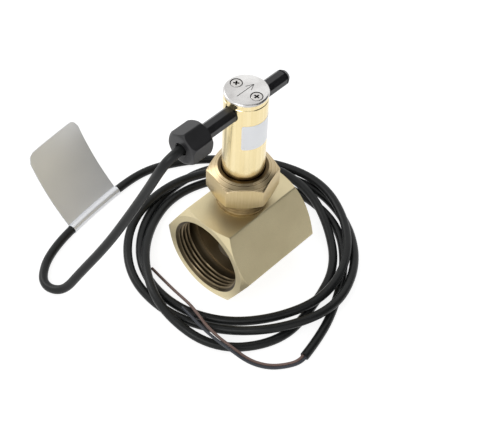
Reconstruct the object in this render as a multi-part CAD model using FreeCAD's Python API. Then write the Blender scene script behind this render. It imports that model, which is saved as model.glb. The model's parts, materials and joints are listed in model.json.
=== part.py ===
import FreeCAD, Part
import os
from math import cos, pi, radians, sin, sqrt, tan

# Paddle flow switch for a G 1 1/4 pipe. A hexagonal tee stands on one flat with its bore along X, in the
# direction of flow. A switch tube stands on it along Z, held by a union nut. A paddle hangs from an axle in the
# tube and its magnet works a reed contact, in a rod that is clamped across the top of the tube.
# Millimetres, origin at the middle of the tee's bottom flat.

V = FreeCAD.Vector
X, Y, Z = V(1, 0, 0), V(0, 1, 0), V(0, 0, 1)

# ---- fits ----
THREAD_FIT = 0.10        # radial room in a screwed joint
SLIDE_FIT = 0.05         # radial room of a piece slid into a bore
PIN_FIT = 0.02           # radial room of a pin in its fixed holes
RUNNING_FIT = 0.05       # radial room of the lever on its axle
WRAP_FIT = 0.25          # radial room of the tag round the cable
STOP_GAP = 0.04          # lever to stop pin, at each end of the swing
CLAMP_GAP = 0.10         # cap tongue to reed rod
FLOOR_GAP = 0.05         # cable above the surface that the tee stands on
OVERCUT = 1.0            # how far a cutting tool runs past a face

# ---- tee: hexagonal bar with threaded ends ----
TEE_FLATS = 50.0
TEE_LENGTH = 53.0
TEE_CHAMFER_ANGLE = 30.0
THREAD_CORE_R = 19.475   # G 1 1/4 internal thread at its crests
BORE_STEP = 0.975        # middle bore, where the paddle hangs, inside the thread's crests
MOUTH_SINK = 2.025       # countersink at each mouth
THREAD_LENGTH = 9.5      # from the mouth to the end of the thread
RELIEF_DEPTH = 0.325     # smooth undercut behind the thread
RELIEF_LENGTH = 4.0
NIPPLE_ROOM = 0.25       # radial room of the switch tube in the nipple
NIPPLE_WALL = 2.2        # out to the crests of its G 3/4 external thread
SPIGOT_STEP = 0.6        # lower end of the nipple, brazed into the tee
NIPPLE_HEIGHT = 13.0     # above the tee's top flat

# ---- switch tube and union nut ----
GASKET_HEIGHT = 0.9
TUBE_R = 10.75
TUBE_BELOW_COLLAR = 11.9
COLLAR_STEP = 1.35
COLLAR_HEIGHT = 3.8
TUBE_ABOVE_COLLAR = 52.6
TUBE_WALL = 1.75         # round the lower bore, which holds the paddle carrier
CARRIER_BORE_LENGTH = 24.0
CARRIER_STEP = 0.4       # upper bore, where the lever's magnet swings, inside the lower one
END_WALL = 2.813         # between the upper bore and the cross bore
ROD_COVER = 1.0          # tube's top over the rod in the cross bore
ROD_FIT = 0.087          # radial room of the rod's corners in the cross bore
SLOT_WIDTH = 6.0         # slot from the cross bore up through the top
NUT_FLATS = 32.0
NUT_TURN = -133.6        # direction of one flat of the union nut, degrees from X
NUT_DROP = 4.5           # nut's lower face under the nipple's top
NUT_ROOF = 6.1           # nut's roof over the collar
NUT_LEDGE = 2.05         # flat ring on top round the tube, inside the turned chamfer
NUT_FOOT_R = 15.3
NUT_HOLE_ROOM = 0.35     # radial room of the roof's hole round the tube
CHAMFER_ANGLE = 30.0

# ---- clamp cap, arrow plate and their screws ----
CAP_GAP = 0.25           # cap above the tube's top
CAP_HEIGHT = 2.45
TONGUE_SIDE_ROOM = 0.1
PLATE_EDGE = 0.15        # plate over the tube's side
PLATE_HEIGHT = 1.2
PLATE_BEVEL = 0.7
CAP_SCREW_R = 1.45
CAP_SCREW_HEAD_R = 2.75
CAP_SCREW_WALL = 0.8     # between a screw's hole and the cross bore
CAP_SCREW_LENGTH = 11.2

# ---- paddle mechanism ----
AXLE_R = 1.25
AXLE_DROP = 6.0          # under the carrier's top
CARRIER_WALL = 1.75
CARRIER_WINDOW_WIDTH = 5.0
CARRIER_WINDOW_HEIGHT = 12.0
CIRCLIP_THICKNESS = 1.0
CIRCLIP_DEPTH = 0.5      # how far the circlip stands in its groove
CIRCLIP_WIDTH = 1.6
CIRCLIP_MOUTH = 50.0     # degrees left open
STOP_PIN_R = 0.8
STOP_PIN_RISE = 2.0      # stop pins over the carrier's foot
REST_LEAN = 8.0          # paddle's lower end leans upstream at rest
SWING = 20.0             # from rest to full flow
LEVER_THICKNESS = 2.5
LEVER_WIDTH = 6.0
ARM_WIDTH = 4.0          # lever above the axle
HUB_WALL = 1.35
HUB_SIDE_ROOM = 0.2      # hub's ends to the carrier
LEVER_TAIL = 30.0        # lever's lower end under the axle
MAGNET_R = 2.0
MAGNET_HEIGHT = 4.0
MAGNET_GAP = 3.0         # lever's magnet under the reset magnet
CUP_WALL = 0.6
CUP_FLOOR = 0.8
BLADE_WIDTH = 13.0
BLADE_THICKNESS = 0.8
BLADE_LAP = 10.5         # blade's top over the lever's lower end
BLADE_FOOT_ROOM = 4.0    # blade over the bottom of the middle bore
BLADE_CORNER_R = 4.0
BLADE_RIB = 2.4          # width of the pressed rib down the blade
BLADE_SCREW_R = 1.0
BLADE_SCREW_HEAD_R = 1.9
BLADE_SCREW_HEAD = 1.0
BLADE_SCREW_RISES = (2.5, 8.0)    # over the lever's lower end
SEAT_HEIGHT = 8.0
RESET_MAGNET_R = 2.0
RESET_MAGNET_HEIGHT = 4.0
RESET_MAGNET_OFFSET = 4.6

# ---- reed rod and cable gland ----
ROD_FLATS = 7.6
ROD_TIP = 27.5           # from the tube's axis, downstream
ROD_TIP_CHAMFER = 2.0
ROD_TIP_STEP = 1.21      # tip's face inside the corners
ROD_GROOVE_BACK = 2.6    # small groove behind the tip
ROD_GROOVE_WIDTH = 0.6
ROD_GROOVE_DEPTH = 0.4
ROD_TAIL = 37.0          # rod's other end, inside the gland nut
ROD_THREAD_STEP = 0.1    # thread inside the flats
ROD_THREAD_LENGTH = 6.0
ROD_END_WALL = 3.5
REED_R = 1.1
REED_LENGTH = 14.0
LEAD_R = 0.25
LEAD_ROOM = 0.4          # return lead beside the glass
LEAD_OVERHANG = 1.5      # how far it runs past the glass
POTTING_GAP = 5.0        # potting to the glass
SHEATH_IN = 3.0          # sheath inside the rod's end
SEAL_LENGTH = 4.5
GLAND_FLATS = 16.0
GLAND_TURN = 5.0         # direction of one flat, degrees from Y round X
GLAND_LENGTH = 13.3
GLAND_CORNER = 1.2       # turned chamfer at both ends
GLAND_LIP = 1.5
GLAND_HOLE_ROOM = 0.8    # radial room of the hole round the cable
GLAND_MOUTH_LENGTH = 1.4 # clears the rod's octagon

# ---- cable ----
CABLE_R = 2.4
CORE_R = 0.8
CORE_SPACING = 0.85      # core's axis from the cable's axis
CORE_EXIT = 4.0          # cores run on straight out of the sheath
COIL_CENTRE = (6.0, 2.0)
COIL_FIRST_ANGLE = 60.0
COIL_STEP = 30.0
COIL_TOP = 10.0          # two layers of cable
DIP_HALF = 12.0          # the turns lie in one layer across the tee's axis, clear of the pipes
TAG_RUN = 5              # the run of the lead, counted from its end, that carries the tag
TAG_LENGTH = 37.0
TAG_FLAG = 44.0          # from the cable's axis to the flag's edge
TAG_RISE = 38.0          # degrees above level
TAG_SHEET = 0.3
TAG_CORNER_R = 3.0

# ---- radii that follow ----
bore_r = THREAD_CORE_R - BORE_STEP
nipple_bore_r = TUBE_R + NIPPLE_ROOM
nipple_r = nipple_bore_r + NIPPLE_WALL
spigot_r = nipple_r - SPIGOT_STEP
collar_r = TUBE_R + COLLAR_STEP
carrier_bore_r = TUBE_R - TUBE_WALL
magnet_bore_r = carrier_bore_r - CARRIER_STEP
carrier_r = carrier_bore_r - SLIDE_FIT
carrier_inner_r = carrier_r - CARRIER_WALL
hub_r = AXLE_R + HUB_WALL
hub_half = sqrt(carrier_inner_r ** 2 - hub_r ** 2) - HUB_SIDE_ROOM
rod_corner_r = ROD_FLATS / 2 / cos(pi / 8)
cross_bore_r = rod_corner_r + ROD_FIT
cap_screw_y = cross_bore_r + CAP_SCREW_WALL + SLIDE_FIT + CAP_SCREW_R
rod_thread_r = ROD_FLATS / 2 - ROD_THREAD_STEP
gland_bore_r = rod_thread_r + SLIDE_FIT
plate_r = TUBE_R + PLATE_EDGE
lead_rise = REED_R + LEAD_ROOM + LEAD_R

# ---- heights that follow ----
axis_z = TEE_FLATS / 2
tee_top = TEE_FLATS
nipple_top = tee_top + NIPPLE_HEIGHT
collar_z = nipple_top + GASKET_HEIGHT
collar_top = collar_z + COLLAR_HEIGHT
tube_foot = collar_z - TUBE_BELOW_COLLAR
tube_top = collar_top + TUBE_ABOVE_COLLAR
rod_z = tube_top - ROD_COVER - ROD_FLATS / 2
carrier_top = tube_foot + CARRIER_BORE_LENGTH
end_wall_z = rod_z - cross_bore_r - END_WALL
seat_foot = end_wall_z - SEAT_HEIGHT
magnet_top = seat_foot - MAGNET_GAP
axle_z = carrier_top - AXLE_DROP
lever_foot = axle_z - LEVER_TAIL
blade_foot = axis_z - bore_r + BLADE_FOOT_ROOM
nut_foot = nipple_top - NUT_DROP
nut_top = collar_top + NUT_ROOF
cap_z = tube_top + CAP_GAP
plate_z = cap_z + CAP_HEIGHT
plate_top = plate_z + PLATE_HEIGHT
circlip_z = tube_foot + CIRCLIP_THICKNESS
carrier_foot = circlip_z + CIRCLIP_THICKNESS
stop_z = carrier_foot + STOP_PIN_RISE

# ---- places along the rod, from the tube's axis ----
seal_face = -ROD_TAIL - SEAL_LENGTH
gland_from = seal_face - GLAND_LIP
gland_to = gland_from + GLAND_LENGTH
sheath_to = SHEATH_IN - ROD_TAIL
potting_to = -REED_LENGTH / 2 - POTTING_GAP

# ---- heights of the cable's axis ----
cable_z = CABLE_R + FLOOR_GAP
tag_z = CABLE_R + WRAP_FIT + TAG_SHEET + FLOOR_GAP
core_z = CORE_R + FLOOR_GAP


# ---- shapes ----
def rod(radius, start, end, axis=Z, at=(0, 0)):
    """Cylinder along an axis from start to end. at is the place in the other two directions."""
    if axis == Z:
        foot = V(at[0], at[1], start)
    elif axis == X:
        foot = V(start, at[0], at[1])
    else:
        foot = V(at[0], start, at[1])
    return Part.makeCylinder(radius, end - start, foot, axis)


def block(low, high):
    size = [b - a for a, b in zip(low, high)]
    return Part.makeBox(size[0], size[1], size[2], V(*low))


def turned(outline, axis=Z, centre=V(0, 0, 0)):
    """Solid turned about an axis. outline is (place along the axis, radius) from end to end."""
    side = X if axis == Z else Z
    points = [centre + axis * along + side * radius for along, radius in outline]
    points.append(centre + axis * outline[-1][0])
    points.append(centre + axis * outline[0][0])
    kept = [p for i, p in enumerate(points) if i == 0 or (p - points[i - 1]).Length > 1e-9]
    face = Part.Face(Part.makePolygon(kept + [kept[0]]))
    return face.revolve(centre, axis, 360)


def bar(sides, flats, start, end, axis, turn=0.0, centre=V(0, 0, 0)):
    """Prism with the given width over its flats. turn is the direction of one flat."""
    corner_r = flats / 2 / cos(pi / sides)
    across = Y if axis == X else X
    up = Z if axis == X else Y
    points = []
    for i in range(sides):
        a = radians(turn) + (2 * i + 1) * pi / sides
        points.append(centre + axis * start + across * (corner_r * cos(a)) + up * (corner_r * sin(a)))
    face = Part.Face(Part.makePolygon(points + [points[0]]))
    return face.extrude(axis * (end - start))


def one(shape):
    """The shape with split faces joined again."""
    return shape.removeSplitter()


# ---- tee and nipple ----
def tee_body():
    half = TEE_LENGTH / 2
    face_r = TEE_FLATS / 2
    outer_r = TEE_FLATS / 2 / cos(pi / 6) + OVERCUT
    run = (outer_r - face_r) * tan(radians(TEE_CHAMFER_ANGLE))
    axis_at = V(0, 0, axis_z)
    envelope = turned([(-half, face_r), (run - half, outer_r), (half - run, outer_r), (half, face_r)], X, axis_at)
    body = bar(6, TEE_FLATS, -half, half, X, 90.0, axis_at).common(envelope)
    wall_end = half - THREAD_LENGTH
    relief_end = wall_end - RELIEF_LENGTH
    past = half + OVERCUT
    relief_r = THREAD_CORE_R + RELIEF_DEPTH
    side = [(half - MOUTH_SINK, THREAD_CORE_R), (wall_end, THREAD_CORE_R), (wall_end, relief_r), (relief_end, relief_r),
            (relief_end, bore_r)]
    mouth_r = THREAD_CORE_R + MOUTH_SINK
    right = [(past, mouth_r), (half, mouth_r)] + side
    left = [(-x, r) for x, r in right]
    bore = turned(left + right[::-1], X, axis_at)
    branch = rod(spigot_r + SLIDE_FIT, axis_z, tee_top + OVERCUT)
    return one(body.cut(bore).cut(branch))


def branch_nipple():
    outside = rod(nipple_r, tee_top, nipple_top).fuse(rod(spigot_r, axis_z, tee_top))
    flow_bore = rod(bore_r, -TEE_LENGTH, TEE_LENGTH, X, (0, axis_z))
    inside = rod(nipple_bore_r, axis_z - OVERCUT, nipple_top + OVERCUT)
    return one(outside.cut(flow_bore).cut(inside))


# ---- union ----
def union_nut():
    outer_r = NUT_FLATS / 2 / cos(pi / 6) + OVERCUT
    slope = tan(radians(CHAMFER_ANGLE))
    foot_run = (outer_r - NUT_FOOT_R) * slope
    ledge_r = TUBE_R + NUT_LEDGE
    top_run = (outer_r - ledge_r) * slope
    envelope = turned([(nut_foot, NUT_FOOT_R), (nut_foot + foot_run, outer_r), (nut_top - top_run, outer_r),
                       (nut_top, ledge_r)])
    nut = bar(6, NUT_FLATS, nut_foot, nut_top, Z, NUT_TURN).common(envelope)
    thread = rod(nipple_r + THREAD_FIT, nut_foot - OVERCUT, collar_top)
    hole = rod(TUBE_R + NUT_HOLE_ROOM, nut_foot, nut_top + OVERCUT)
    return one(nut.cut(thread).cut(hole))


def collar_gasket():
    ring = rod(collar_r, nipple_top, collar_z)
    return ring.cut(rod(TUBE_R + THREAD_FIT, nipple_top, collar_z))


def switch_tube():
    tube = rod(TUBE_R, tube_foot, tube_top).fuse(rod(collar_r, collar_z, collar_top))
    tube = tube.cut(rod(carrier_bore_r, tube_foot - OVERCUT, carrier_top))
    tube = tube.cut(rod(magnet_bore_r, tube_foot, end_wall_z))
    groove_r = carrier_bore_r + CIRCLIP_DEPTH + SLIDE_FIT
    tube = tube.cut(rod(groove_r, circlip_z - SLIDE_FIT, carrier_foot + SLIDE_FIT))
    tube = tube.cut(rod(cross_bore_r, -TUBE_R - OVERCUT, TUBE_R + OVERCUT, X, (0, rod_z)))
    half = SLOT_WIDTH / 2
    slot_top = tube_top + OVERCUT
    tube = tube.cut(block((-TUBE_R - OVERCUT, -half, rod_z), (TUBE_R + OVERCUT, half, slot_top)))
    for y in (-cap_screw_y, cap_screw_y):
        foot = plate_top - CAP_SCREW_LENGTH - SLIDE_FIT
        tube = tube.cut(rod(CAP_SCREW_R + SLIDE_FIT, foot, tube_top + OVERCUT, Z, (0, y)))
    return one(tube)


# ---- clamp ----
def countersunk(shape, foot):
    """The shape with both cap screw holes and countersinks cut."""
    for y in (-cap_screw_y, cap_screw_y):
        hole = rod(CAP_SCREW_R + SLIDE_FIT, foot - OVERCUT, plate_top + OVERCUT, Z, (0, y))
        depth = CAP_SCREW_HEAD_R - CAP_SCREW_R
        sink = turned([(plate_top - depth, CAP_SCREW_R + SLIDE_FIT), (plate_top, CAP_SCREW_HEAD_R + SLIDE_FIT)],
                      Z, V(0, y, 0))
        shape = shape.cut(hole).cut(sink)
    return shape


def clamp_cap():
    cap = rod(TUBE_R, cap_z, plate_z)
    half = SLOT_WIDTH / 2 - TONGUE_SIDE_ROOM
    tongue_foot = rod_z + ROD_FLATS / 2 + CLAMP_GAP
    tongue = block((-TUBE_R, -half, tongue_foot), (TUBE_R, half, cap_z + CAP_HEIGHT / 2))
    cap = cap.fuse(tongue.common(rod(TUBE_R, tongue_foot, plate_z)))
    return one(countersunk(cap, cap_z))


def arrow_plate():
    edge = plate_top - PLATE_BEVEL
    plate = turned([(plate_z, plate_r), (edge, plate_r), (plate_top, plate_r - PLATE_BEVEL)])
    return one(countersunk(plate, plate_z))


def cap_screws():
    screws = []
    depth = CAP_SCREW_HEAD_R - CAP_SCREW_R
    foot = plate_top - CAP_SCREW_LENGTH
    point = foot + CAP_SCREW_R / 2
    for y in (-cap_screw_y, cap_screw_y):
        outline = [(foot, CAP_SCREW_R / 2), (point, CAP_SCREW_R), (plate_top - depth, CAP_SCREW_R),
                   (plate_top, CAP_SCREW_HEAD_R)]
        screws.append(turned(outline, Z, V(0, y, 0)))
    return Part.Compound(screws)


# ---- paddle mechanism: fixed pieces ----
def stop_place(angle, side):
    """Distance of a stop pin's axis from the tube's axis: it meets the lever's face at that angle."""
    off_face = LEVER_THICKNESS / 2 + STOP_PIN_R + STOP_GAP
    return side * ((axle_z - stop_z) * tan(radians(angle)) + off_face / cos(radians(angle)))


def stop_places():
    return (stop_place(REST_LEAN, -1), stop_place(SWING - REST_LEAN, 1))


def pin_half(x, radius):
    """Half the length of a pin across the carrier at x, its ends flush inside the carrier's wall."""
    return sqrt(carrier_r ** 2 - (abs(x) + radius) ** 2) - PIN_FIT


def cross_pin(radius, x, z, room=0.0):
    half = pin_half(x, radius)
    return rod(radius + room, -half, half, Y, (x, z))


def paddle_carrier():
    sleeve = rod(carrier_r, carrier_foot, carrier_top)
    sleeve = sleeve.cut(rod(carrier_inner_r, carrier_foot - OVERCUT, carrier_top + OVERCUT))
    half = CARRIER_WINDOW_WIDTH / 2
    rise = CARRIER_WINDOW_HEIGHT / 2
    middle = (carrier_foot + carrier_top) / 2
    window = block((-carrier_r - OVERCUT, -half, middle - rise), (carrier_r + OVERCUT, half, middle + rise - half))
    arch = rod(half, -carrier_r - OVERCUT, carrier_r + OVERCUT, X, (0, middle + rise - half))
    sleeve = sleeve.cut(window.fuse(arch))
    sleeve = sleeve.cut(cross_pin(AXLE_R, 0, axle_z, PIN_FIT))
    for x in stop_places():
        sleeve = sleeve.cut(cross_pin(STOP_PIN_R, x, stop_z, PIN_FIT))
    return one(sleeve)


def axle_pin():
    return cross_pin(AXLE_R, 0, axle_z)


def stop_pins():
    return Part.Compound([cross_pin(STOP_PIN_R, x, stop_z) for x in stop_places()])


def carrier_circlip():
    outer_r = carrier_bore_r + CIRCLIP_DEPTH
    ring = rod(outer_r, circlip_z, carrier_foot).cut(rod(outer_r - CIRCLIP_WIDTH, circlip_z, carrier_foot))
    start = -CIRCLIP_MOUTH / 2
    mouth = Part.makeCylinder(outer_r + OVERCUT, CIRCLIP_THICKNESS, V(0, 0, circlip_z), Z, CIRCLIP_MOUTH)
    mouth.rotate(V(0, 0, 0), Z, start)
    return ring.cut(mouth)


def magnet_seat():
    seat = rod(magnet_bore_r - PIN_FIT, seat_foot, end_wall_z)
    pocket_top = seat_foot + RESET_MAGNET_HEIGHT
    return seat.cut(rod(RESET_MAGNET_R + PIN_FIT, seat_foot - OVERCUT, pocket_top, Z, (RESET_MAGNET_OFFSET, 0)))


def reset_magnet():
    return rod(RESET_MAGNET_R, seat_foot, seat_foot + RESET_MAGNET_HEIGHT, Z, (RESET_MAGNET_OFFSET, 0))


# ---- paddle mechanism: swinging pieces ----
def leaned(shape):
    """Turned about the axle from upright to the rest position."""
    shape.rotate(V(0, 0, axle_z), Y, REST_LEAN)
    return shape


def blade_screw_holes(shape, room):
    for rise in BLADE_SCREW_RISES:
        hole = rod(BLADE_SCREW_R + room, -LEVER_THICKNESS * 2, LEVER_THICKNESS, X, (0, lever_foot + rise))
        shape = shape.cut(hole)
    return shape


def paddle_lever():
    half = LEVER_THICKNESS / 2
    magnet_foot = magnet_top - MAGNET_HEIGHT
    cup_foot = magnet_foot - CUP_FLOOR
    cup_top = magnet_top - CUP_WALL
    tail = block((-half, -LEVER_WIDTH / 2, lever_foot), (half, LEVER_WIDTH / 2, axle_z))
    arm = block((-half, -ARM_WIDTH / 2, axle_z), (half, ARM_WIDTH / 2, cup_foot + CUP_FLOOR / 2))
    hub = rod(hub_r, -hub_half, hub_half, Y, (0, axle_z))
    cup_r = MAGNET_R + CUP_WALL
    cup = turned([(cup_foot - cup_r, half), (cup_foot, cup_r), (cup_top, cup_r)])
    lever = tail.fuse(arm).fuse(hub).fuse(cup)
    lever = lever.cut(rod(MAGNET_R + PIN_FIT, magnet_foot, cup_top + OVERCUT))
    lever = lever.cut(rod(AXLE_R + RUNNING_FIT, -hub_half - OVERCUT, hub_half + OVERCUT, Y, (0, axle_z)))
    lever = blade_screw_holes(lever, PIN_FIT)
    foot_edges = [e for e in lever.Edges if abs(e.CenterOfMass.z - lever_foot) < 1e-6
                  and abs(abs(e.CenterOfMass.y) - LEVER_WIDTH / 2) < 1e-6]
    lever = lever.makeChamfer(half, foot_edges)
    return leaned(one(lever))


def lever_magnet():
    return leaned(rod(MAGNET_R, magnet_top - MAGNET_HEIGHT, magnet_top))


def paddle_blade():
    """Sheet blade on the lever's upstream face, with a rib pressed down its middle to stiffen it."""
    face_x = -LEVER_THICKNESS / 2
    back_x = face_x - BLADE_THICKNESS
    half = BLADE_WIDTH / 2
    top = lever_foot + BLADE_LAP
    blade = block((back_x, -half, blade_foot), (face_x, half, top))
    foot_edges = [e for e in blade.Edges if abs(e.CenterOfMass.z - blade_foot) < 1e-6
                  and abs(abs(e.CenterOfMass.y) - half) < 1e-6]
    blade = blade.makeFillet(BLADE_CORNER_R, foot_edges)
    rib_r = BLADE_RIB / 2
    rib_top = lever_foot - BLADE_RIB
    rib_foot = blade_foot + BLADE_CORNER_R
    front = block((back_x - rib_r, -half, rib_foot), (back_x, half, rib_top))
    blade = blade.fuse(rod(rib_r, rib_foot, rib_top, Z, (back_x, 0)).common(front))
    blade = blade.cut(rod(rib_r, rib_foot + BLADE_THICKNESS, rib_top - BLADE_THICKNESS, Z, (face_x, 0)))
    return leaned(one(blade_screw_holes(blade, SLIDE_FIT)))


def blade_screws():
    screws = []
    seat_x = -LEVER_THICKNESS / 2 - BLADE_THICKNESS
    for rise in BLADE_SCREW_RISES:
        z = lever_foot + rise
        shank = rod(BLADE_SCREW_R, seat_x, LEVER_THICKNESS / 2, X, (0, z))
        outline = [(seat_x - BLADE_SCREW_HEAD, BLADE_SCREW_HEAD_R / 2),
                   (seat_x - BLADE_SCREW_HEAD / 2, BLADE_SCREW_HEAD_R), (seat_x, BLADE_SCREW_HEAD_R)]
        screws.append(leaned(shank.fuse(turned(outline, X, V(0, 0, z)))))
    return Part.Compound(screws)


# ---- reed contact ----
def reed_rod():
    at = V(0, 0, rod_z)
    octagon = bar(8, ROD_FLATS, -ROD_TAIL, ROD_TIP, X, 0.0, at)
    full = rod_corner_r + OVERCUT
    thread_end = ROD_THREAD_LENGTH - ROD_TAIL
    tip_r = rod_corner_r - ROD_TIP_STEP
    slope = (full - tip_r) / ROD_TIP_STEP * ROD_TIP_CHAMFER
    envelope = turned([(-ROD_TAIL, rod_thread_r), (thread_end, rod_thread_r), (thread_end, full),
                       (ROD_TIP - slope, full), (ROD_TIP, tip_r)], X, at)
    shape = octagon.common(envelope)
    groove_x = ROD_TIP - ROD_GROOVE_BACK
    ring = rod(full, groove_x, groove_x + ROD_GROOVE_WIDTH, X, (0, rod_z))
    ring = ring.cut(rod(ROD_FLATS / 2 - ROD_GROOVE_DEPTH, groove_x, groove_x + ROD_GROOVE_WIDTH, X, (0, rod_z)))
    shape = shape.cut(ring)
    return one(shape.cut(rod(CABLE_R, -ROD_TAIL - OVERCUT, ROD_TIP - ROD_END_WALL, X, (0, rod_z))))


def reed_glass():
    half = REED_LENGTH / 2
    neck = REED_R / 2
    outline = [(-half, neck), (neck - half, REED_R), (half - neck, REED_R), (half, neck)]
    return turned(outline, X, V(0, 0, rod_z))


def reed_leads():
    """One lead runs straight into the glass, the other comes back beside it from the far end."""
    half = REED_LENGTH / 2
    far = half + LEAD_OVERHANG
    near = rod(LEAD_R, potting_to, -half, X, (0, rod_z))
    back = rod(LEAD_R, potting_to, far, X, (0, rod_z + lead_rise))
    back = back.fuse(rod(LEAD_R, half, far, X, (0, rod_z)))
    back = back.fuse(rod(LEAD_R, rod_z - LEAD_R, rod_z + lead_rise + LEAD_R, Z, (far - LEAD_R, 0)))
    return Part.Compound([near, one(back)])


def potting():
    return rod(CABLE_R - SLIDE_FIT, sheath_to, potting_to, X, (0, rod_z))


def sheath_tail():
    return rod(CABLE_R - SLIDE_FIT, seal_face, sheath_to, X, (0, rod_z))


def gland_seal():
    ring = rod(rod_thread_r, seal_face, -ROD_TAIL, X, (0, rod_z))
    return ring.cut(rod(CABLE_R, seal_face, -ROD_TAIL, X, (0, rod_z)))


def gland_nut():
    at = V(0, 0, rod_z)
    corner_r = GLAND_FLATS / 2 / cos(pi / 6)
    end_r = corner_r - GLAND_CORNER
    envelope = turned([(gland_from, end_r), (gland_from + GLAND_CORNER, corner_r), (gland_to - GLAND_CORNER, corner_r),
                       (gland_to, end_r)], X, at)
    nut = bar(6, GLAND_FLATS, gland_from, gland_to, X, GLAND_TURN, at).common(envelope)
    nut = nut.cut(rod(CABLE_R + GLAND_HOLE_ROOM, gland_from - OVERCUT, seal_face, X, (0, rod_z)))
    nut = nut.cut(rod(gland_bore_r, seal_face, gland_to + OVERCUT, X, (0, rod_z)))
    return one(nut.cut(rod(cross_bore_r, gland_to - GLAND_MOUTH_LENGTH, gland_to + OVERCUT, X, (0, rod_z))))


# ---- cable: routes chosen by hand, from the gland down to the surface and into a loose coil ----
LEAD_ROUTE = [(seal_face, 0, rod_z), (-45.2, 0, 115.5), (-48.9, 0.6, 113.8), (-51.4, 1.8, 110.8),
              (-53.4, 4.6, 103.6), (-55.2, 9.6, 91.0), (-60.2, 19.2, 67.5), (-67.0, 29.2, 43.5),
              (-76.5, 41.0, 19.5), (-81.2, 46.5, 7.4), (-84.6, 51.6, 3.9), (-85.6, 58.4, cable_z),
              (-82.6, 64.8, cable_z), (-72.0, 72.5, cable_z), (-52.4, 77.9, tag_z), (-11.0, 82.4, tag_z),
              (10.0, 81.4, cable_z), (27.0, 72.5, cable_z), (39.9, 60.6, cable_z)]
TAIL_ROUTE = [(-3.5, -63.3, cable_z), (-13.2, -66.1, cable_z), (-24.1, -67.8, cable_z)]
BROWN_ROUTE = [(-35.0, -64.6, core_z), (-42.4, -57.2, 1.2), (-47.6, -47.0, 7.6), (-49.4, -37.6, 12.7),
               (-47.6, -24.6, 12.0), (-43.6, -16.2, 11.6), (-39.5, -10.0, 5.1), (-38.2, -2.4, core_z),
               (-36.8, 27.0, core_z)]
BLUE_ROUTE = [(-36.4, -67.0, core_z), (-44.4, -58.6, 1.2), (-50.4, -48.0, 7.6), (-52.4, -38.4, 12.7),
              (-50.6, -24.6, 12.0), (-47.2, -16.4, 11.5), (-44.4, -8.9, 6.2)]

# Distance of each turn of the coil from its centre, at every COIL_STEP clockwise from COIL_FIRST_ANGLE.
TURNS = [
    [67.3, 63.8, 61.0, 56.2, 54.2, 53.4, 49.6, 49.5, 52.8, 55.8, 56.5, 58.4],
    [62.3, 57.8, 59.4, 58.6, 59.2, 61.8, 58.4, 55.5, 58.6, 62.7, 62.8, 57.2],
    [53.4, 57.0, 51.2, 46.4, 48.2, 50.0, 62.2, 66.6, 61.4, 54.0, 51.4, 53.2],
    [52.2, 51.0, 50.9, 52.8, 53.4, 60.3],
]


def cord_path(points):
    """Straight runs joined by tangent arcs, each as large as its two runs allow, and the radii of the arcs."""
    edges = []
    radii = []
    last = points[0]
    for before, corner, after in zip(points, points[1:], points[2:]):
        run_in = corner - before
        run_out = after - corner
        half_turn = run_in.getAngle(run_out) / 2
        reach = 0.45 * min(run_in.Length, run_out.Length)
        arc_r = reach / tan(half_turn)
        way_in = V(run_in).normalize()
        way_out = V(run_out).normalize()
        inward = (way_out - way_in).normalize()
        start = corner - way_in * reach
        end = corner + way_out * reach
        middle = corner + inward * (arc_r / cos(half_turn) - arc_r)
        edges.append(Part.LineSegment(last, start).toShape())
        edges.append(Part.Arc(start, middle, end).toShape())
        radii.append(arc_r)
        last = end
    edges.append(Part.LineSegment(last, points[-1]).toShape())
    return Part.Wire(edges), radii


def cord_tube(name, points, radius):
    points = [V(*p) for p in points]
    path, radii = cord_path(points)
    ring = Part.Wire(Part.makeCircle(radius, points[0], points[1] - points[0]))
    tube = path.makePipeShell([ring], True, False)
    swept = pi * radius ** 2 * path.Length
    print("%-12s length %7.1f  arcs in diameters %s" % (name, path.Length, [round(r / radius / 2, 1) for r in radii]))
    print("%-12s volume %9.2f  section times length %9.2f" % ("", tube.Volume, swept))
    return tube


def plan_side(route, at, towards):
    """Both edges of a route's end, seen from above: the place at an end, a cable radius to either side."""
    place = V(route[at][0], route[at][1], 0)
    way = V(route[towards][0], route[towards][1], 0) - place
    across = V(-way.y, way.x, 0).normalize() * (CABLE_R + FLOOR_GAP)
    middle = V(COIL_CENTRE[0], COIL_CENTRE[1], 0)
    outer, inner = place + across, place - across
    return (outer, inner) if (outer - middle).Length > (inner - middle).Length else (inner, outer)


def coil_point(radius, k):
    a = radians(COIL_FIRST_ANGLE - COIL_STEP * k)
    return V(COIL_CENTRE[0] + radius * cos(a), COIL_CENTRE[1] + radius * sin(a), 0)


def smooth(points, closed=False):
    curve = Part.BSplineCurve()
    curve.interpolate(Points=points, PeriodicFlag=closed)
    return curve.toShape()


def pipe_dip():
    """Bar along the tee's axis with sloping sides, over one layer of cable."""
    reach = COIL_CENTRE[0] + 2 * max(TURNS[0])
    layer = cable_z + CABLE_R
    top = COIL_TOP + OVERCUT
    wide = DIP_HALF + top - layer
    corners = [V(-reach, -wide, top), V(-reach, -DIP_HALF, layer), V(-reach, DIP_HALF, layer), V(-reach, wide, top)]
    return Part.Face(Part.makePolygon(corners + [corners[0]])).extrude(V(2 * reach, 0, 0))


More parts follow.
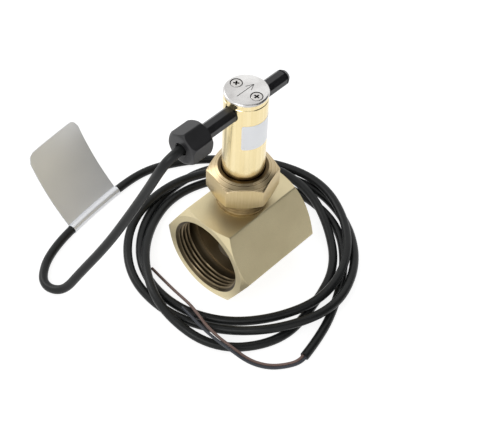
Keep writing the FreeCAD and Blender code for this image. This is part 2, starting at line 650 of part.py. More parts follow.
def coil_solid():
    """Outer shape of the loose coil. Its outline has a step where the lead comes in and one where the tail leaves."""
    stations = round(360 / COIL_STEP)
    outer = [max(turn[k] for turn in TURNS if k < len(turn)) + CABLE_R for k in range(stations)]
    inner = [min(turn[k] for turn in TURNS if k < len(turn)) - CABLE_R for k in range(stations)]
    lead_out, lead_in = plan_side(LEAD_ROUTE, -1, -2)
    tail_out, tail_in = plan_side(TAIL_ROUTE, 0, 1)
    tail_station = len(TURNS[-1])
    first = [lead_out] + [coil_point(outer[k], k) for k in range(1, tail_station)] + [tail_out]
    second = [tail_in] + [coil_point(outer[k], k) for k in range(tail_station, stations)] + [lead_in]
    edges = [smooth(first), Part.LineSegment(tail_out, tail_in).toShape(), smooth(second),
             Part.LineSegment(lead_in, lead_out).toShape()]
    rim = Part.Face(Part.Wire(edges))
    hole = Part.Face(Part.Wire([smooth([coil_point(inner[k], k) for k in range(stations)], True)]))
    ring = rim.cut(hole)
    ring.translate(V(0, 0, FLOOR_GAP))
    coil = ring.extrude(V(0, 0, COIL_TOP - FLOOR_GAP))
    return one(coil.cut(pipe_dip()))


def core_tube(name, route, side):
    """A core from the sheath's cut end. Its route starts on the end face, to one side of the cable's axis."""
    end = V(*TAIL_ROUTE[-1])
    way = (end - V(*TAIL_ROUTE[-2])).normalize()
    start = end + V(way.y, -way.x, 0) * (side * CORE_SPACING)
    out = start + way * CORE_EXIT
    return cord_tube(name, [tuple(start), tuple(out)] + route, CORE_R)


def cable_tag():
    """Flag label: one sheet wrapped round the cable, its two ends stuck together as a flag."""
    a, b = V(*LEAD_ROUTE[-TAG_RUN]), V(*LEAD_ROUTE[-TAG_RUN + 1])
    way = (b - a).normalize()
    middle = (a + b) / 2
    inner_r = CABLE_R + WRAP_FIT
    outer_r = inner_r + TAG_SHEET
    foot = middle - way * (TAG_LENGTH / 2)
    wrap = Part.makeCylinder(outer_r, TAG_LENGTH, foot, way)
    side = V(-way.y, way.x, 0).normalize()
    out = side * cos(radians(TAG_RISE)) + Z * sin(radians(TAG_RISE))
    lift = way.cross(out)
    lift = lift if lift.z > 0 else lift * -1
    start = foot - lift * TAG_SHEET
    corners = [start, start + out * TAG_FLAG, start + out * TAG_FLAG + lift * (2 * TAG_SHEET),
               start + lift * (2 * TAG_SHEET)]
    flag = Part.Face(Part.makePolygon(corners + [corners[0]])).extrude(way * TAG_LENGTH)
    far = [e for e in flag.Edges if abs((e.CenterOfMass - foot).dot(out) - TAG_FLAG) < 1e-6
           and abs(e.Length - 2 * TAG_SHEET) < 1e-6]
    flag = flag.makeFillet(TAG_CORNER_R, far)
    return one(wrap.fuse(flag).cut(Part.makeCylinder(inner_r, TAG_LENGTH, foot, way)))


PIECES = {
    "tee_body": tee_body, "branch_nipple": branch_nipple, "union_nut": union_nut,
    "collar_gasket": collar_gasket, "switch_tube": switch_tube, "clamp_cap": clamp_cap,
    "arrow_plate": arrow_plate, "cap_screws": cap_screws,
    "paddle_carrier": paddle_carrier, "axle_pin": axle_pin, "stop_pins": stop_pins,
    "carrier_circlip": carrier_circlip, "magnet_seat": magnet_seat, "reset_magnet": reset_magnet,
    "paddle_lever": paddle_lever, "lever_magnet": lever_magnet, "paddle_blade": paddle_blade,
    "blade_screws": blade_screws,
    "reed_rod": reed_rod, "reed_glass": reed_glass, "reed_leads": reed_leads, "potting": potting,
    "sheath_tail": sheath_tail, "gland_seal": gland_seal, "gland_nut": gland_nut,
    "cable_lead": lambda: cord_tube("cable_lead", LEAD_ROUTE, CABLE_R),
    "cable_coil": coil_solid,
    "cable_tail": lambda: cord_tube("cable_tail", TAIL_ROUTE, CABLE_R),
    "cable_tag": cable_tag,
    "brown_core": lambda: core_tube("brown_core", BROWN_ROUTE, 1),
    "blue_core": lambda: core_tube("blue_core", BLUE_ROUTE, -1),
}

os.makedirs("parts", exist_ok=True)
for name, make in PIECES.items():
    shape = make()
    box = shape.optimalBoundingBox()
    print("%-16s valid %s solids %d volume %9.1f  x %6.1f %6.1f y %6.1f %6.1f z %6.1f %6.1f" % (
        name, shape.isValid(), len(shape.Solids), shape.Volume, box.XMin, box.XMax, box.YMin, box.YMax,
        box.ZMin, box.ZMax))
    shape.exportStep("parts/%s.step" % name)
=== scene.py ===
import bmesh
import bpy
import json
from math import asin, atan, cos, pi, radians, sin, sqrt, tan
from mathutils import Matrix, Vector


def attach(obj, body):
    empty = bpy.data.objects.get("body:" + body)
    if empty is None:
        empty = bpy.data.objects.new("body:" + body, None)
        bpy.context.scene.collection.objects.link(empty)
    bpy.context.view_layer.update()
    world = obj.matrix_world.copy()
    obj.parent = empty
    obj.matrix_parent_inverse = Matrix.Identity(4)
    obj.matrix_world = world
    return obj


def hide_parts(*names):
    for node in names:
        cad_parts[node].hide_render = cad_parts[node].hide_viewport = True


# A paddle flow switch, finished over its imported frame. Lengths are in metres, but the cords' routes are in
# millimetres. +X runs with the flow along the tee's bore and +Z up the switch tube. The origin is the
# middle of the tee's bottom flat.

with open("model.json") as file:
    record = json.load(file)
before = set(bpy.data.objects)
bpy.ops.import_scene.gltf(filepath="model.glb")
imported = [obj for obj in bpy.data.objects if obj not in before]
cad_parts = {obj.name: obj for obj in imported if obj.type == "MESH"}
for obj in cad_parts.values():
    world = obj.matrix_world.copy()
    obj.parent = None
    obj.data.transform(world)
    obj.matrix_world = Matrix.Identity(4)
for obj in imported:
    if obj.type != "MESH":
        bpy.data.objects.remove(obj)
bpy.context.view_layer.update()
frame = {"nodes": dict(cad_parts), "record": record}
cad = frame["nodes"]
MM = 0.001


# ---- sizes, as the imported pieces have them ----
TEE_AXIS = (0.0, 0.0, 0.025)
TEE_FLATS = 0.050
TEE_HALF = 0.0265
TEE_FACE_R = 0.025
TEE_CORNER = 0.0009
MOUTH_R = 0.0215
THREAD_CREST = 0.019475
THREAD_END = 0.0170
THREAD_PITCH = 0.002309
THREAD_DEPTH = 0.00148
RELIEF_R = 0.0198
RELIEF_END = 0.0130
BORE_R = 0.0185
BRANCH_HOLE_R = 0.01265

NIPPLE_R = 0.0132
NIPPLE_SPIGOT_R = 0.0126
NIPPLE_BORE_R = 0.011
NIPPLE_FOOT = 0.0385
NIPPLE_SHOULDER = 0.050
NIPPLE_TOP = 0.063
NIPPLE_PITCH = 0.001814
NIPPLE_DEPTH = 0.0010

COLLAR_FROM, COLLAR_TO = 0.0639, 0.0677
COLLAR_R = 0.0121

NUT_FLATS = 0.032
NUT_TURN = radians(-133.6)
NUT_CORNER = 0.0005
NUT_FOOT_Z, NUT_TOP_Z = 0.0585, 0.0738
NUT_FOOT_R = 0.0153
NUT_LEDGE_R = 0.0128
NUT_MOUTH_R = 0.0111
NUT_THREAD_R = 0.0133
CHAMFER_SLOPE = tan(radians(30.0))
QUARTERS = (0.0, 0.25, 0.5, 0.75, 1.0)

TUBE_R = 0.01075
TUBE_FOOT, TUBE_TOP = 0.052, 0.1203
LOWER_BORE_R, LOWER_BORE_END = 0.009, 0.076
SEAT_BORE_R, SEAT_BORE_END = 0.0086, 0.1085
CLIP_GROOVE_R = 0.00955
CLIP_GROOVE_FROM, CLIP_GROOVE_TO = 0.05295, 0.05405
ROD_Z = 0.1155
CROSS_BORE_R = 0.0042
SLOT_HALF = 0.003

CAP_Z = 0.12055
PLATE_Z, PLATE_TOP = 0.1230, 0.1242
PLATE_R = 0.0109
SCREW_Y = 0.0065
SCREW_HOLE_R = 0.0015
SCREW_R = 0.00145
HEAD_R = 0.00262
SINK_R = 0.0031
SINK_FROM = 0.1226


# ---- camera ----
CAMERA_PLACE = Vector((-0.318238, -0.282587, 0.519563))
CAMERA_RIGHT = Vector((0.68662646, -0.72648722, 0.02757568))
CAMERA_UP = Vector((0.53429388, 0.5299744, 0.65852653))
CAMERA_LENS = 93.08


def set_camera():
    back = CAMERA_RIGHT.cross(CAMERA_UP)
    turn = Matrix((CAMERA_RIGHT, CAMERA_UP, back)).transposed()
    lens = bpy.data.cameras.new("camera")
    lens.lens = CAMERA_LENS
    lens.sensor_width = 36.0
    lens.clip_start = 0.01
    camera = bpy.data.objects.new("camera", lens)
    camera.matrix_world = Matrix.Translation(CAMERA_PLACE) @ turn.to_4x4()
    bpy.context.scene.collection.objects.link(camera)
    bpy.context.scene.camera = camera


# ---- node trees ----
class Value:
    """One output of a node tree. Arithmetic on values adds Math nodes."""

    def __init__(self, net, socket):
        self.net = net
        self.socket = socket

    def math(self, operation, *others):
        return self.net.node("ShaderNodeMath", {"operation": operation}, dict(enumerate((self,) + others)))

    def after(self, operation, first):
        return self.net.node("ShaderNodeMath", {"operation": operation}, {0: first, 1: self})

    def __add__(self, other):
        return self.math("ADD", other)

    def __sub__(self, other):
        return self.math("SUBTRACT", other)

    def __mul__(self, other):
        return self.math("MULTIPLY", other)

    def __truediv__(self, other):
        return self.math("DIVIDE", other)

    def __pow__(self, other):
        return self.math("POWER", other)

    def __radd__(self, other):
        return self.after("ADD", other)

    def __rsub__(self, other):
        return self.after("SUBTRACT", other)

    def __rmul__(self, other):
        return self.after("MULTIPLY", other)

    def __rtruediv__(self, other):
        return self.after("DIVIDE", other)


class Net:
    """A node tree being filled."""

    def __init__(self, tree):
        self.tree = tree
        tree.nodes.clear()

    def node(self, kind, settings=None, inputs=None, output=0):
        made = self.tree.nodes.new(kind)
        for name, setting in (settings or {}).items():
            setattr(made, name, setting)
        for key, given in (inputs or {}).items():
            if isinstance(given, Value):
                self.tree.links.new(given.socket, made.inputs[key])
            else:
                made.inputs[key].default_value = given
        return Value(self, made.outputs[output]) if made.outputs else made

    def place(self):
        return self.node("ShaderNodeTexCoord", output="Object")

    def along(self, axis):
        return self.node("ShaderNodeSeparateXYZ", inputs={0: self.place()}, output=axis)

    def point(self, x, y, z):
        return self.node("ShaderNodeCombineXYZ", inputs={0: x, 1: y, 2: z})

    def shifted(self, offset, scale=(1.0, 1.0, 1.0)):
        """The place on the object, moved and then stretched."""
        moved = self.node("ShaderNodeVectorMath", {"operation": "SUBTRACT"}, {0: self.place(), 1: offset})
        return self.node("ShaderNodeVectorMath", {"operation": "MULTIPLY"}, {0: moved, 1: scale})

    def stretched(self, x, y, z):
        return self.shifted((0.0, 0.0, 0.0), (x, y, z))

    def length(self, vector):
        return self.node("ShaderNodeVectorMath", {"operation": "LENGTH"}, {0: vector}, "Value")

    def noise(self, scale, detail=2.0, rough=0.5, vector=None):
        place = vector or self.place()
        inputs = {"Vector": place, "Scale": scale, "Detail": detail, "Roughness": rough}
        return self.node("ShaderNodeTexNoise", inputs=inputs, output="Fac")

    def spread(self, value, low, high, first=0.0, second=1.0):
        """The value's run from low to high, stretched over first to second and held there."""
        inputs = {"Value": value, "From Min": low, "From Max": high, "To Min": first, "To Max": second}
        return self.node("ShaderNodeMapRange", {"interpolation_type": "SMOOTHSTEP"}, inputs)

    def blend(self, factor, first, second):
        """The first colour where the factor is 0 and the second where it is 1."""
        settings = {"data_type": "RGBA", "clamp_factor": True}
        colours = [c if isinstance(c, Value) else (*c, 1.0) for c in (first, second)]
        return self.node("ShaderNodeMix", settings, {0: factor, 6: colours[0], 7: colours[1]}, 2)

    def bump(self, height, distance, strength=1.0, over=None):
        inputs = {"Height": height, "Distance": distance, "Strength": strength}
        if over:
            inputs["Normal"] = over
        return self.node("ShaderNodeBump", inputs=inputs)


def finish(name, constants, surface):
    """A material. constants are set on the shader, and surface(net) gives the values that vary."""
    material = bpy.data.materials.new(name)
    material.use_nodes = True
    net = Net(material.node_tree)
    varying = surface(net)
    shader = net.node("ShaderNodeBsdfPrincipled", inputs={**constants, **varying})
    net.node("ShaderNodeOutputMaterial", inputs={"Surface": shader})
    material.diffuse_color = constants.get("Base Color", (0.5, 0.5, 0.5, 1.0))
    return material


# ---- metals ----
def blasted_brass_surface(net):
    """Bead-blasted outside, with the bore left as it was turned, in rings, and painted a darker brown as
    shade inside it, darkest in the thread roots.
    """
    grain = net.noise(5200.0, 3.0, 0.6)
    cloud = net.noise(55.0, 3.0, 0.55)
    from_axis = net.length(net.shifted(TEE_AXIS, (0.0, 1.0, 1.0)))
    bore = net.spread(from_axis, MOUTH_R - 0.0002, MOUTH_R + 0.0002, 1.0, 0.0)
    outside = net.blend(net.spread(grain, 0.3, 0.7), (0.66, 0.575, 0.36), (0.79, 0.69, 0.45))
    outside = net.blend(net.spread(cloud, 0.35, 0.7) * 0.35, outside, (0.60, 0.51, 0.31))
    # Painted shade: the bore's turned colours are dark brown, and darkest at the thread roots.
    painted_root_shade = net.spread(from_axis, RELIEF_R - 0.0002, RELIEF_R + 0.0008)
    turned = net.blend(painted_root_shade, (0.30, 0.235, 0.145), (0.075, 0.058, 0.034))
    rings = net.noise(1.0, 2.0, 0.5, net.stretched(2600.0, 30.0, 30.0))
    rough_bore = net.spread(rings, 0.3, 0.7, 0.34, 0.46) * bore
    rough = rough_bore + net.spread(grain, 0.2, 0.8, 0.40, 0.50) * (1.0 - bore)
    height = grain * (1.0 - bore) + rings * bore * 0.4
    return {"Base Color": net.blend(bore, outside, turned), "Roughness": rough,
            "Normal": net.bump(height, 0.00006, 0.55)}


def painted_shade_brass_surface(net):
    rings = net.noise(1.0, 2.0, 0.5, net.stretched(40.0, 40.0, 3000.0))
    stain = net.noise(160.0, 3.0, 0.6)
    # Painted shade: these brass colours are dark, as brass looks in the deep shade under the union nut,
    # mottled at random.
    colour = net.blend(net.spread(stain, 0.3, 0.7), (0.20, 0.14, 0.065), (0.34, 0.25, 0.12))
    return {"Base Color": colour, "Roughness": net.spread(rings, 0.3, 0.7, 0.38, 0.55),
            "Normal": net.bump(rings, 0.00003, 0.5)}


def nut_brass_surface(net):
    """Satin flats with fine marks along the bar and turned rings on the top chamfer, with painted shade: the
    foot chamfer and the inner ledge are coloured dark.
    """
    from_axis = net.length(net.stretched(1.0, 1.0, 0.0))
    height = net.along("Z")
    ring_wave = net.noise(1.0, 2.0, 0.6, net.point(from_axis * 2100.0, 0.0, 0.0))
    flats_wave = net.noise(1.0, 3.0, 0.6, net.stretched(2400.0, 2400.0, 90.0))
    top = net.spread(height + from_axis * CHAMFER_SLOPE, NUT_TOP_Z + 0.00700, NUT_TOP_Z + 0.00735)
    colour = net.blend(net.spread(flats_wave, 0.3, 0.75), (0.56, 0.44, 0.235), (0.64, 0.515, 0.30))
    ringed = net.blend(net.spread(ring_wave, 0.35, 0.65), (0.44, 0.33, 0.18), (0.66, 0.54, 0.34))
    # Painted shade: the inner ledge and the foot chamfer get a dark brown, as if in shadow.
    painted_ledge_shade = net.spread(from_axis, NUT_LEDGE_R - 0.0002, NUT_LEDGE_R + 0.0002, 1.0, 0.0)
    foot = net.spread(height - from_axis * CHAMFER_SLOPE, NUT_FOOT_Z - 0.0088, NUT_FOOT_Z - 0.0084, 1.0, 0.0)
    wave = ring_wave * top + flats_wave * (1.0 - top) * 0.5
    rough_top = net.spread(ring_wave, 0.3, 0.7, 0.24, 0.4) * top
    rough = rough_top + net.spread(flats_wave, 0.3, 0.7, 0.32, 0.44) * (1.0 - top)
    colour = net.blend(painted_ledge_shade.math("MAXIMUM", foot), net.blend(top, colour, ringed), (0.11, 0.078, 0.04))
    return {"Base Color": colour, "Roughness": rough, "Normal": net.bump(wave, 0.00004, 0.5)}


def polished_brass_surface(net):
    """Lacquered and polished, with the last fine lines of the polishing belt round it."""
    lines = net.noise(1.0, 3.0, 0.6, net.stretched(60.0, 60.0, 5200.0))
    # Painted reflection: long light and dark streaks down the tube's colour.
    painted_streaks = net.noise(1.0, 2.0, 0.5, net.stretched(420.0, 420.0, 9.0))
    # Painted shade and reflection: a dark band round the tube just above the nut.
    painted_nut_shade = net.spread(net.along("Z"), NUT_TOP_Z + 0.0004, NUT_TOP_Z + 0.0034, 1.0, 0.0)
    colour = net.blend(net.spread(painted_streaks, 0.3, 0.7), (0.82, 0.675, 0.37), (0.89, 0.76, 0.46))
    colour = net.blend(painted_nut_shade * 0.85, colour, (0.20, 0.13, 0.05))
    return {"Base Color": colour, "Roughness": net.spread(lines, 0.3, 0.7, 0.17, 0.25),
            "Normal": net.bump(lines, 0.000006, 0.3)}


def silver_plate_surface(net):
    brushed = net.noise(1.0, 3.0, 0.6, net.stretched(90.0, 5200.0, 90.0))
    cloud = net.noise(120.0, 2.0, 0.5)
    # Painted shade: the plate's colour darkens towards -X and lightens towards +X, mixed with random cloud.
    across = net.spread(net.along("X"), -0.010, 0.007)
    shade = net.spread(cloud, 0.3, 0.7) * 0.5 + across * 0.5
    colour = net.blend(shade, (0.56, 0.545, 0.535), (0.86, 0.85, 0.835))
    from_axis = net.length(net.stretched(1.0, 1.0, 0.0))
    # Painted shade: below the face, the arrow grooves, key mark and countersinks are coloured near black.
    below = net.spread(net.along("Z"), PLATE_TOP - 0.00015, PLATE_TOP - 0.00005, 1.0, 0.0)
    painted_groove_shade = below * net.spread(from_axis, 0.0097, 0.0099, 1.0, 0.0)
    colour = net.blend(painted_groove_shade * 0.92, colour, (0.05, 0.045, 0.04))
    return {"Base Color": colour, "Roughness": net.spread(brushed, 0.3, 0.7, 0.26, 0.38),
            "Normal": net.bump(brushed, 0.00001, 0.4)}


def steel_surface(tint, low, high):
    """Bright steel with fine rolling or turning marks."""
    def surface(net):
        marks = net.noise(1.0, 2.0, 0.5, net.stretched(1500.0, 1500.0, 120.0))
        spots = net.noise(300.0, 2.0, 0.5)
        pale = tuple(min(1.0, c * 1.18) for c in tint)
        return {"Base Color": net.blend(net.spread(spots, 0.3, 0.7), tint, pale),
                "Roughness": net.spread(marks, 0.3, 0.7, low, high), "Normal": net.bump(marks, 0.000006, 0.3)}
    return surface


def cap_screw_surface(net):
    """Bright heads, with painted shade: near black in the cross recesses and on the heads' sides down in the
    countersinks.
    """
    turned = net.noise(1.0, 2.0, 0.6, net.stretched(3000.0, 3000.0, 200.0))
    # Painted shade below the head's top: the cross recesses and the sides in the countersinks.
    painted_recess_shade = net.spread(net.along("Z"), PLATE_TOP - 0.0005, PLATE_TOP - 0.00025, 1.0, 0.0)
    colour = net.blend(net.spread(turned, 0.3, 0.7), (0.62, 0.60, 0.585), (0.74, 0.725, 0.70))
    return {"Base Color": net.blend(painted_recess_shade * 0.95, colour, (0.03, 0.027, 0.025)),
            "Roughness": net.spread(turned, 0.3, 0.7, 0.26, 0.38), "Normal": net.bump(turned, 0.00001, 0.4)}


# ---- plastics, rubber, film ----
def moulded_surface(first, second, grain_scale, grain_depth, low, high):
    """Moulded plastic: a fine even grain with a slow change of shade under it."""
    def surface(net):
        grain = net.noise(grain_scale, 2.0, 0.6)
        cloud = net.noise(90.0, 3.0, 0.55)
        shade = net.spread(cloud, 0.3, 0.7) * 0.6 + net.spread(grain, 0.3, 0.7) * 0.4
        return {"Base Color": net.blend(shade, first, second),
                "Roughness": net.spread(grain, 0.25, 0.75, low, high),
                "Normal": net.bump(grain, grain_depth, 0.5)}
    return surface


def fibre_surface(net):
    fibres = net.noise(1.0, 4.0, 0.65, net.stretched(1500.0, 600.0, 5000.0))
    return {"Base Color": net.blend(net.spread(fibres, 0.3, 0.7), (0.19, 0.065, 0.04), (0.33, 0.14, 0.09)),
            "Normal": net.bump(fibres, 0.00005, 0.6)}


def ferrite_surface(net):
    grain = net.noise(2600.0, 4.0, 0.6)
    colour = net.blend(net.spread(grain, 0.35, 0.65), (0.035, 0.035, 0.04), (0.085, 0.085, 0.09))
    return {"Base Color": colour,
            "Roughness": net.spread(grain, 0.3, 0.7, 0.4, 0.55), "Normal": net.bump(grain, 0.00003, 0.5)}


def film_surface(net):
    """Silver polyester film: soft broad sheen with a faint ripple."""
    ripple = net.noise(36.0, 1.0, 0.4)
    fine = net.noise(3000.0, 2.0, 0.5)
    return {"Base Color": net.blend(net.spread(ripple, 0.3, 0.7), (0.84, 0.86, 0.89), (0.91, 0.925, 0.95)),
            "Roughness": net.spread(fine, 0.3, 0.7, 0.28, 0.36), "Normal": net.bump(ripple, 0.0003, 0.15)}


def glass_surface(net):
    streak = net.noise(900.0, 2.0, 0.5)
    return {"Roughness": net.spread(streak, 0.3, 0.7, 0.02, 0.08), "Normal": net.bump(streak, 0.00001, 0.3)}


METAL = {"Metallic": 1.0}
DULL = {"Specular IOR Level": 0.24}
FINISH_RULES = {
    "blasted_brass": (METAL, blasted_brass_surface),
    "dark_brass": (METAL, painted_shade_brass_surface),
    "nut_brass": (METAL, nut_brass_surface),
    "polished_brass": (METAL, polished_brass_surface),
    "silver_plate": (METAL, silver_plate_surface),
    "screw_steel": (METAL, steel_surface((0.60, 0.60, 0.59), 0.24, 0.36)),
    "cap_steel": (METAL, cap_screw_surface),
    "paddle_steel": (METAL, steel_surface((0.44, 0.44, 0.43), 0.30, 0.40)),
    "lead_wire": (METAL, steel_surface((0.66, 0.64, 0.60), 0.25, 0.35)),
    "magnet_ferrite": ({"Metallic": 0.0}, ferrite_surface),
    "gasket_fibre": ({"Roughness": 0.85}, fibre_surface),
    "white_plastic": ({}, moulded_surface((0.72, 0.72, 0.70), (0.79, 0.79, 0.775),
                                          3000.0, 0.00002, 0.36, 0.46)),
    "black_plastic": ({}, moulded_surface((0.009, 0.009, 0.010), (0.016, 0.016, 0.018),
                                          3600.0, 0.00003, 0.30, 0.42)),
    "cable_sheath": (DULL, moulded_surface((0.009, 0.010, 0.010), (0.017, 0.018, 0.018),
                                           2600.0, 0.00003, 0.30, 0.42)),
    "seal_rubber": ({}, moulded_surface((0.012, 0.012, 0.012), (0.024, 0.024, 0.024),
                                        2400.0, 0.00005, 0.6, 0.75)),
    "potting_resin": ({}, moulded_surface((0.030, 0.026, 0.022), (0.050, 0.044, 0.038),
                                          500.0, 0.00002, 0.12, 0.2)),
    "brown_insulation": ({}, moulded_surface((0.155, 0.098, 0.082), (0.215, 0.138, 0.118),
                                             3600.0, 0.00002, 0.36, 0.48)),
    "blue_insulation": ({}, moulded_surface((0.030, 0.034, 0.044), (0.048, 0.053, 0.066),
                                            3600.0, 0.00002, 0.36, 0.48)),
    "tag_film": ({"Metallic": 0.5}, film_surface),
    "reed_glass": ({"Transmission Weight": 1.0, "IOR": 1.5, "Base Color": (0.82, 0.92, 0.88, 1.0)},
                   glass_surface),
}
FINISHES = {name: finish(name, constants, surface) for name, (constants, surface) in FINISH_RULES.items()}
SLOT_OF = {row["node"]: row["material_slot"] for row in frame["record"]["subparts"]}


# ---- making and settling pieces ----
def linked(name, mesh):
    piece = bpy.data.objects.new(name, mesh)
    bpy.context.scene.collection.objects.link(piece)
    return piece


def settle(piece):
    """The piece with its modifiers worked into its mesh."""
    graph = bpy.context.evaluated_depsgraph_get()
    mesh = bpy.data.meshes.new_from_object(piece.evaluated_get(graph))
    piece.modifiers.clear()
    piece.data = mesh
    return piece


def tidy_mesh(piece, gap=0.00001):
    net = bmesh.new()
    net.from_mesh(piece.data)
    bmesh.ops.remove_doubles(net, verts=net.verts, dist=gap)
    bmesh.ops.dissolve_degenerate(net, edges=net.edges, dist=gap)
    bmesh.ops.recalc_face_normals(net, faces=net.faces)
    net.to_mesh(piece.data)
    net.free()
    return piece


def softened(piece, width, angle=30.0, segments=2):
    """Every sharp edge rounded a little."""
    edge = piece.modifiers.new("soft edges", "BEVEL")
    edge.width = width
    edge.segments = segments
    edge.limit_method = "ANGLE"
    edge.angle_limit = radians(angle)
    edge.miter_outer = "MITER_ARC"
    return tidy_mesh(settle(piece))


def shaded(piece, angle=32.0):
    piece.data.shade_smooth()
    piece.data.set_sharp_from_angle(angle=radians(angle))
    return piece


def combine(piece, tool, operation):
    """The piece cut by, joined with or kept inside another, which is used up."""
    step = piece.modifiers.new("tool", "BOOLEAN")
    step.operation = operation
    step.solver = "EXACT"
    step.object = tool
    settle(piece)
    bpy.data.objects.remove(tool)
    return tidy_mesh(piece)


def cut(piece, tool):
    return combine(piece, tool, "DIFFERENCE")


def placed(piece, node, body, look=None):
    """Gives the piece its finish and body, and lets it stand for the frame's node."""
    slot = SLOT_OF[node]
    piece.data.materials.clear()
    piece.data.materials.append(FINISHES[look or slot])
    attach(piece, body)
    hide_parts(node)
    return piece


def round_columns(count=128):
    return [2 * pi * i / count for i in range(count)]


def flat_distance(angle, flats, sides, turn, corner):
    """Distance from the axis to a bar's surface in one direction. corner is the radius of its long edges."""
    step = 2 * pi / sides
    off = (angle - turn + step / 2) % step - step / 2
    inner = flats / 2 - corner
    reach = inner * tan(step / 2)
    if abs(off) <= atan(reach / (flats / 2)):
        return flats / 2 / cos(off)
    centre = inner / cos(step / 2)
    slant = step / 2 - abs(off)
    return centre * cos(slant) + sqrt(corner ** 2 - (centre * sin(slant)) ** 2)


def bar_columns(flats, sides, turn, corner, across_flat=10, across_corner=4):
    """Directions of a bar's columns, close together round each long edge."""
    step = 2 * pi / sides
    edge = atan((flats / 2 - corner) * tan(step / 2) / (flats / 2))
    columns = []
    for side in range(sides):
        middle = turn + side * step
        for i in range(across_flat):
            columns.append(middle - edge + 2 * edge * i / across_flat)
        for i in range(across_corner):
            columns.append(middle + edge + (step - 2 * edge) * i / across_corner)
    return columns


def turned(name, columns, outline, axis="Z", centre=(0.0, 0.0), closed=False):
    """A turned piece. outline(direction) lists (place along the axis, distance from it), outside first.
    Directions on Z run from X to Y, and on X from Y to Z. centre is the axis's place in the other two."""
    rows = [outline(a) for a in columns]
    mesh = bpy.data.meshes.new(name)
    points = []
    for a, column in zip(columns, rows):
        for along, radius in column:
            u, v = centre[0] + radius * cos(a), centre[1] + radius * sin(a)
            points.append((u, v, along) if axis == "Z" else (along, u, v))
    height, count = len(rows[0]), len(columns)
    faces = []
    for i in range(count):
        here, there = i * height, (i + 1) % count * height
        for k in range(height if closed else height - 1):
            up = (k + 1) % height
            faces.append((here + k, there + k, there + up, here + up))
    mesh.from_pydata(points, [], faces)
    return tidy_mesh(linked(name, mesh))


def round_piece(name, outline, axis="Z", centre=(0.0, 0.0), closed=False, count=128):
    return turned(name, round_columns(count), lambda a: outline, axis, centre, closed)


def plug(name, radius, low, high, axis="Z", centre=(0.0, 0.0), count=128):
    """A plain round tool from low to high along its axis."""
    outline = [(low, 0.0), (low, radius), (high, radius), (high, 0.0)]
    return round_piece(name, outline, axis, centre, count=count)


def box_piece(name, low, high):
    net = bmesh.new()
    bmesh.ops.create_cube(net, size=1.0)
    for v in net.verts:
        v.co = Vector(h if c > 0 else l for c, l, h in zip(v.co, low, high))
    mesh = bpy.data.meshes.new(name)
    net.to_mesh(mesh)
    net.free()
    return linked(name, mesh)


def dressed_copy(name, node, body, edge, angle=30.0):
    """A copy of a frame node with its triangles merged, its flats cleared and its edges softened."""
    mesh = cad[node].data.copy()
    mesh.materials.clear()
    copy = tidy_mesh(linked(name, mesh))
    net = bmesh.new()
    net.from_mesh(copy.data)
    bmesh.ops.dissolve_limit(net, angle_limit=radians(0.4), verts=net.verts, edges=net.edges)
    net.to_mesh(copy.data)
    net.free()
    if edge:
        softened(copy, edge, angle)
    return placed(shaded(copy), node, body)


set_camera()


# ---- cable, cores and tag ----
CABLE_WIDTH = 0.0048
CORE_WIDTH = 0.0016
LEAD_ROUTE = [
    (-41.5, 0, 115.5), (-45.2, 0, 115.5), (-48.9, 0.6, 113.8), (-51.4, 1.8, 110.8), (-53.4, 4.6, 103.6),
    (-55.2, 9.6, 91.0), (-60.2, 19.2, 67.5), (-67.0, 29.2, 43.5), (-76.5, 41.0, 19.5), (-81.2, 46.5, 7.4),
    (-84.6, 51.6, 3.9), (-85.6, 58.4, 2.45), (-82.6, 64.8, 2.45), (-72.0, 72.5, 2.45), (-52.4, 77.9, 3.0),
    (-11.0, 82.4, 3.0), (10.0, 81.4, 2.45), (27.0, 72.5, 2.45)]
COIL_MIDDLE = (6.0, 2.0)
COIL_START = 60.0
COIL_STEP = 30.0
# (distance from the coil's middle, height) at every step of the turns, clockwise from 60 degrees
COIL_TURNS = [
    (67.3, 2.45), (63.8, 4.2), (61.0, 7.6), (56.2, 7.4), (54.2, 7.4), (53.4, 7.9),
    (49.6, 5.6), (49.5, 2.6), (52.8, 2.45), (55.8, 2.45), (56.5, 2.45), (58.4, 2.45),
    (62.3, 2.45), (57.8, 2.45), (59.4, 2.45), (58.6, 2.45), (59.2, 4.6), (61.8, 8.2),
    (58.4, 8.4), (55.5, 3.2), (58.6, 2.45), (62.7, 2.45), (62.8, 5.2), (57.2, 8.4),
    (53.4, 7.8), (57.0, 9.4), (51.2, 8.2), (46.4, 5.0), (48.2, 2.45), (50.0, 2.45),
    (62.2, 2.45), (66.6, 2.45), (61.4, 7.8), (54.0, 7.8), (51.4, 4.4), (53.2, 2.45),
    (52.2, 2.45), (51.0, 2.45), (50.9, 2.45), (52.8, 2.45), (53.4, 2.45), (60.3, 2.45)]
TAIL_ROUTE = [(-13.2, -66.1, 2.45), (-24.1, -67.8, 2.45)]
BROWN_ROUTE = [
    (-24.23, -66.96, 2.45), (-28.18, -67.58, 2.3), (-34.6, -63.4, 1.3), (-40.6, -57.8, 1.2),
    (-45.8, -50.0, 3.4), (-48.8, -40.0, 8.4), (-49.4, -31.0, 9.0), (-48.2, -22.0, 8.6), (-46.0, -14.0, 8.4),
    (-43.6, -6.0, 6.8), (-41.4, 3.0, 3.4), (-39.6, 13.0, 1.2), (-37.6, 28.6, 0.85)]
BLUE_ROUTE = [
    (-23.97, -68.64, 2.45), (-27.92, -69.26, 2.2), (-35.3, -64.9, 1.3), (-41.8, -59.0, 1.2),
    (-47.3, -50.8, 3.4), (-50.5, -40.6, 8.4), (-51.6, -31.0, 9.4), (-51.0, -22.0, 9.2), (-49.6, -13.0, 9.0),
    (-48.0, -5.0, 7.6)]


